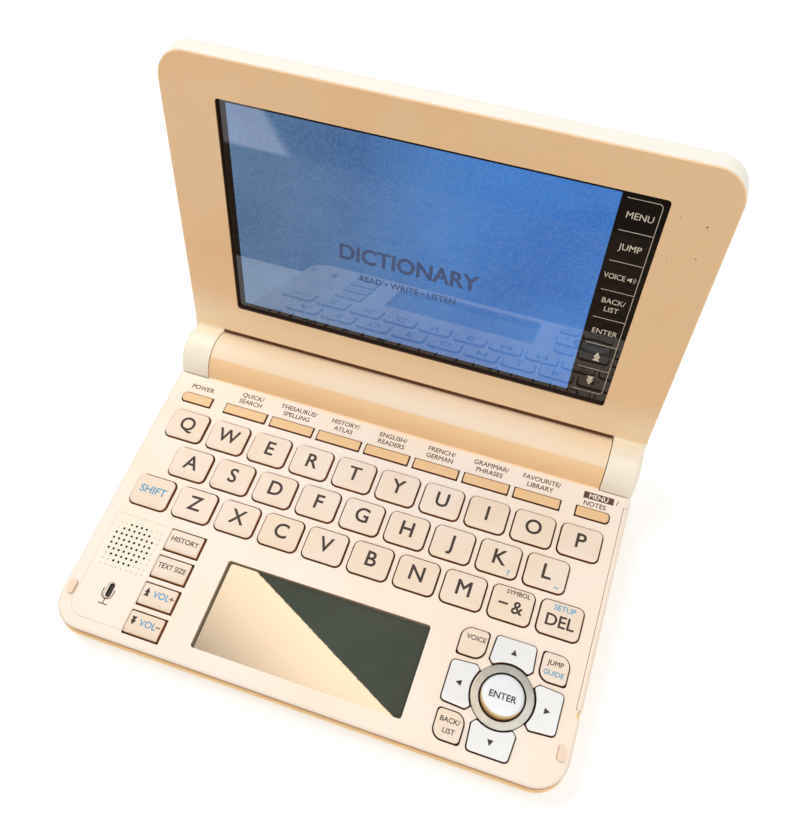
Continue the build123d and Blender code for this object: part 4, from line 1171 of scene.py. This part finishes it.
class DICTIONARY_OT_stage(bpy.types.Operator):
    """Floor, lamps, mirrored cards, world and camera"""

    bl_idname = "dictionary.stage"
    bl_label = "Stage"

    def execute(self, context):
        finish = context.scene.studio_light
        self.floor(finish)
        self.lamps(finish)
        self.cards()
        self.world(context.scene, finish)
        self.camera(context.scene, finish)
        context.scene.view_settings.view_transform = "Standard"
        return {"FINISHED"}

    def sheet(self, name, place, material):
        """A flat square of side 1, put in place by a matrix."""
        bm = bmesh.new()
        bmesh.ops.create_grid(bm, x_segments=1, y_segments=1, size=0.5)
        bm.transform(place)
        mesh = bpy.data.meshes.new(name)
        bm.to_mesh(mesh)
        bm.free()
        mesh.materials.append(material)
        flat = bpy.data.objects.new(name, mesh)
        bpy.context.scene.collection.objects.link(flat)
        return flat

    def seen_rays(self, tree):
        """1 for the rays that show a background: from the camera, from a mirror or through glass."""
        rays = add_node(tree, "ShaderNodeLightPath").outputs
        seen = rays["Is Camera Ray"]
        for kind in ("Is Glossy Ray", "Is Transmission Ray"):
            seen = add_node(tree, "ShaderNodeMath", {0: seen, 1: rays[kind]}, operation="MAXIMUM").outputs[0]
        return seen

    def floor(self, finish):
        """White paper: matt, and lit a little by itself so that it shows as a white background."""
        material, tree, shader, place = start_material("white_paper_floor")
        colour = mottled(tree, place, 400, tuple(finish.floor), linear("F2F2F2"))
        tree.links.new(colour, shader.inputs["Base Color"])
        shader.inputs["Roughness"].default_value = 0.9
        shader.inputs["Emission Color"].default_value = (1, 1, 1, 1)
        glow = region(tree, (self.seen_rays(tree), 0, 1), inside=0.25)
        tree.links.new(glow, shader.inputs["Emission Strength"])
        self.sheet("floor", Matrix.Scale(6, 4), material)

    def lamps(self, finish):
        """Three soft square lamps that point at the object."""
        lights = (
            ("main_lamp", (-0.75, 0.40, 1.05), 0.6, finish.key_power),
            ("top_lamp", (0.35, -0.2, 1.25), 0.9, finish.top_power),
            ("fill_lamp", (0.55, -1.1, 0.9), 0.9, finish.fill_power),
        )
        for name, spot, size, power in lights:
            lamp = bpy.data.lights.new(name, "AREA")
            lamp.energy = power
            lamp.shape = "SQUARE"
            lamp.size = size
            holder = bpy.data.objects.new(name, lamp)
            holder.location = spot
            holder.rotation_euler = (-Vector(spot)).to_track_quat("-Z", "Y").to_euler()
            bpy.context.scene.collection.objects.link(holder)

    def cards(self):
        """What the writing panel and the screen mirror: a table in front, two cards overhead."""
        overhead = base @ Matrix.Translation((-228, 220, 1200)) @ Matrix.Rotation(math.radians(-26.8), 4, "Z")
        self.table_card()
        tree, shader, flat = self.card("warm_card", overhead, (-340, -280, 240, 0))
        shader.inputs["Emission Color"].default_value = linear("F6D6B4")
        back = add_node(tree, "ShaderNodeSeparateXYZ", {0: flat}).outputs["Y"]
        strength = region(tree, (back, -240, 0), outside=2.6, inside=10.5)
        tree.links.new(strength, shader.inputs["Emission Strength"])
        tree, shader, flat = self.card("shade_card", overhead, (-300, 0, 260, 220))
        shader.inputs["Emission Color"].default_value = linear("20180F")
        back = add_node(tree, "ShaderNodeSeparateXYZ", {0: flat}).outputs["Y"]
        strength = region(tree, (back, 0, 200), outside=0.3, inside=0.6)
        tree.links.new(strength, shader.inputs["Emission Strength"])

    def table_card(self):
        """A table top of mottled brown near the object, dark beyond it, with a pale wall to the left."""
        just_above_floor = Matrix.Translation((0, 0, 0.0008)) @ in_mm
        tree, shader, flat = self.card("table_card", just_above_floor, (-700, -1000, 700, -67))
        x, y, _ = add_node(tree, "ShaderNodeSeparateXYZ", {0: flat}).outputs
        near = region(tree, (y, -262, -250))
        aside = add_node(tree, "ShaderNodeMath", {0: y, 1: -0.633, 2: x}, operation="MULTIPLY_ADD").outputs[0]
        wall = region(tree, (aside, -4, -18))
        patches = add_node(tree, "ShaderNodeTexNoise", {"Vector": flat, "Scale": 0.12, "Detail": 3.0})
        cloth = region(tree, (patches.outputs[0], 0.3, 0.7), outside=0.12, inside=0.4)
        far = region(tree, (wall, 0, 1), outside=0.03, inside=1.7)
        strength = add_node(tree, "ShaderNodeMix", {0: near, 2: far, 3: cloth}).outputs[0]
        colour = painted(tree, linear("E8E4F0"), (near, linear("C0A88A")))
        tree.links.new(colour, shader.inputs["Emission Color"])
        tree.links.new(strength, shader.inputs["Emission Strength"])

    def card(self, name, plane, corners):
        """A glowing card on a plane, between two corners in millimetres, that only glossy rays see.
        It gives the card's tree, its shader and the place on the plane."""
        left, low, right, high = corners
        middle = Matrix.Translation(((left + right) / 2, (low + high) / 2, 0))
        material, tree, shader, place = start_material(name)
        shader.inputs["Base Color"].default_value = (0, 0, 0, 1)
        shader.inputs["Specular IOR Level"].default_value = 0.0
        card = self.sheet(name, plane @ middle @ Matrix.Diagonal((right - left, high - low, 1, 1)), material)
        card.visible_camera = card.visible_diffuse = card.visible_shadow = card.visible_transmission = False
        return tree, shader, on_plane(tree, place, plane)

    def world(self, scene, finish):
        """Even white light all round, at full strength only where it is seen as the background."""
        world = bpy.data.worlds.new("studio")
        scene.world = world
        world.use_nodes = True
        tree = world.node_tree
        background = tree.nodes["Background"]
        background.inputs["Color"].default_value = (1, 1, 1, 1)
        strength = region(tree, (self.seen_rays(tree), 0, 1), outside=finish.sky)
        tree.links.new(strength, background.inputs["Strength"])

    def camera(self, scene, finish):
        """The camera, in its place over the keyboard."""
        lens = bpy.data.cameras.new("camera")
        lens.sensor_fit = "VERTICAL"
        lens.sensor_height = 36
        lens.lens = finish.lens
        lens.shift_x, lens.shift_y = VIEW_SHIFT
        lens.clip_start = 0.01
        holder = bpy.data.objects.new("camera", lens)
        turn = base.to_3x3().normalized()
        axes = (turn @ Vector(VIEW_RIGHT), turn @ -Vector(VIEW_DOWN), turn @ -Vector(VIEW_AHEAD))
        place = Matrix(axes).transposed().to_4x4()
        place.translation = base @ Vector(VIEW_PLACE)
        holder.matrix_world = place
        scene.collection.objects.link(holder)
        scene.camera = holder


class DICTIONARY_PT_finish(bpy.types.Panel):
    """Settings, and a button for each group of pieces"""

    bl_label = "Pocket dictionary"
    bl_space_type = "VIEW_3D"
    bl_region_type = "UI"
    bl_category = "Dictionary"

    def draw(self, context):
        for group in ("key_finish", "case_finish", "lid_finish", "studio_light"):
            settings = getattr(context.scene, group)
            for name in settings.__annotations__:
                self.layout.prop(settings, name)
        for operator in OPERATORS:
            self.layout.operator(operator.bl_idname)


OPERATORS = (
    DICTIONARY_OT_letter_keys,
    DICTIONARY_OT_side_keys,
    DICTIONARY_OT_function_keys,
    DICTIONARY_OT_pad,
    DICTIONARY_OT_case,
    DICTIONARY_OT_deck_printing,
    DICTIONARY_OT_lid,
    DICTIONARY_OT_screen,
    DICTIONARY_OT_stage,
)
GROUPS = {
    "key_finish": KeyFinish,
    "case_finish": CaseFinish,
    "lid_finish": LidFinish,
    "studio_light": StudioLight,
}


def register():
    for name, group in GROUPS.items():
        bpy.utils.register_class(group)
        setattr(bpy.types.Scene, name, PointerProperty(type=group))
    for operator in OPERATORS:
        bpy.utils.register_class(operator)
    bpy.utils.register_class(DICTIONARY_PT_finish)


def unregister():
    bpy.utils.unregister_class(DICTIONARY_PT_finish)
    for operator in reversed(OPERATORS):
        bpy.utils.unregister_class(operator)
    for name, group in reversed(GROUPS.items()):
        delattr(bpy.types.Scene, name)
        bpy.utils.unregister_class(group)


def main():
    register()
    bpy.ops.dictionary.letter_keys()
    bpy.ops.dictionary.side_keys()
    bpy.ops.dictionary.function_keys()
    bpy.ops.dictionary.pad()
    bpy.ops.dictionary.case()
    bpy.ops.dictionary.deck_printing()
    bpy.ops.dictionary.lid()
    bpy.ops.dictionary.screen()
    bpy.ops.dictionary.stage()


if __name__ == "__main__":
    main()
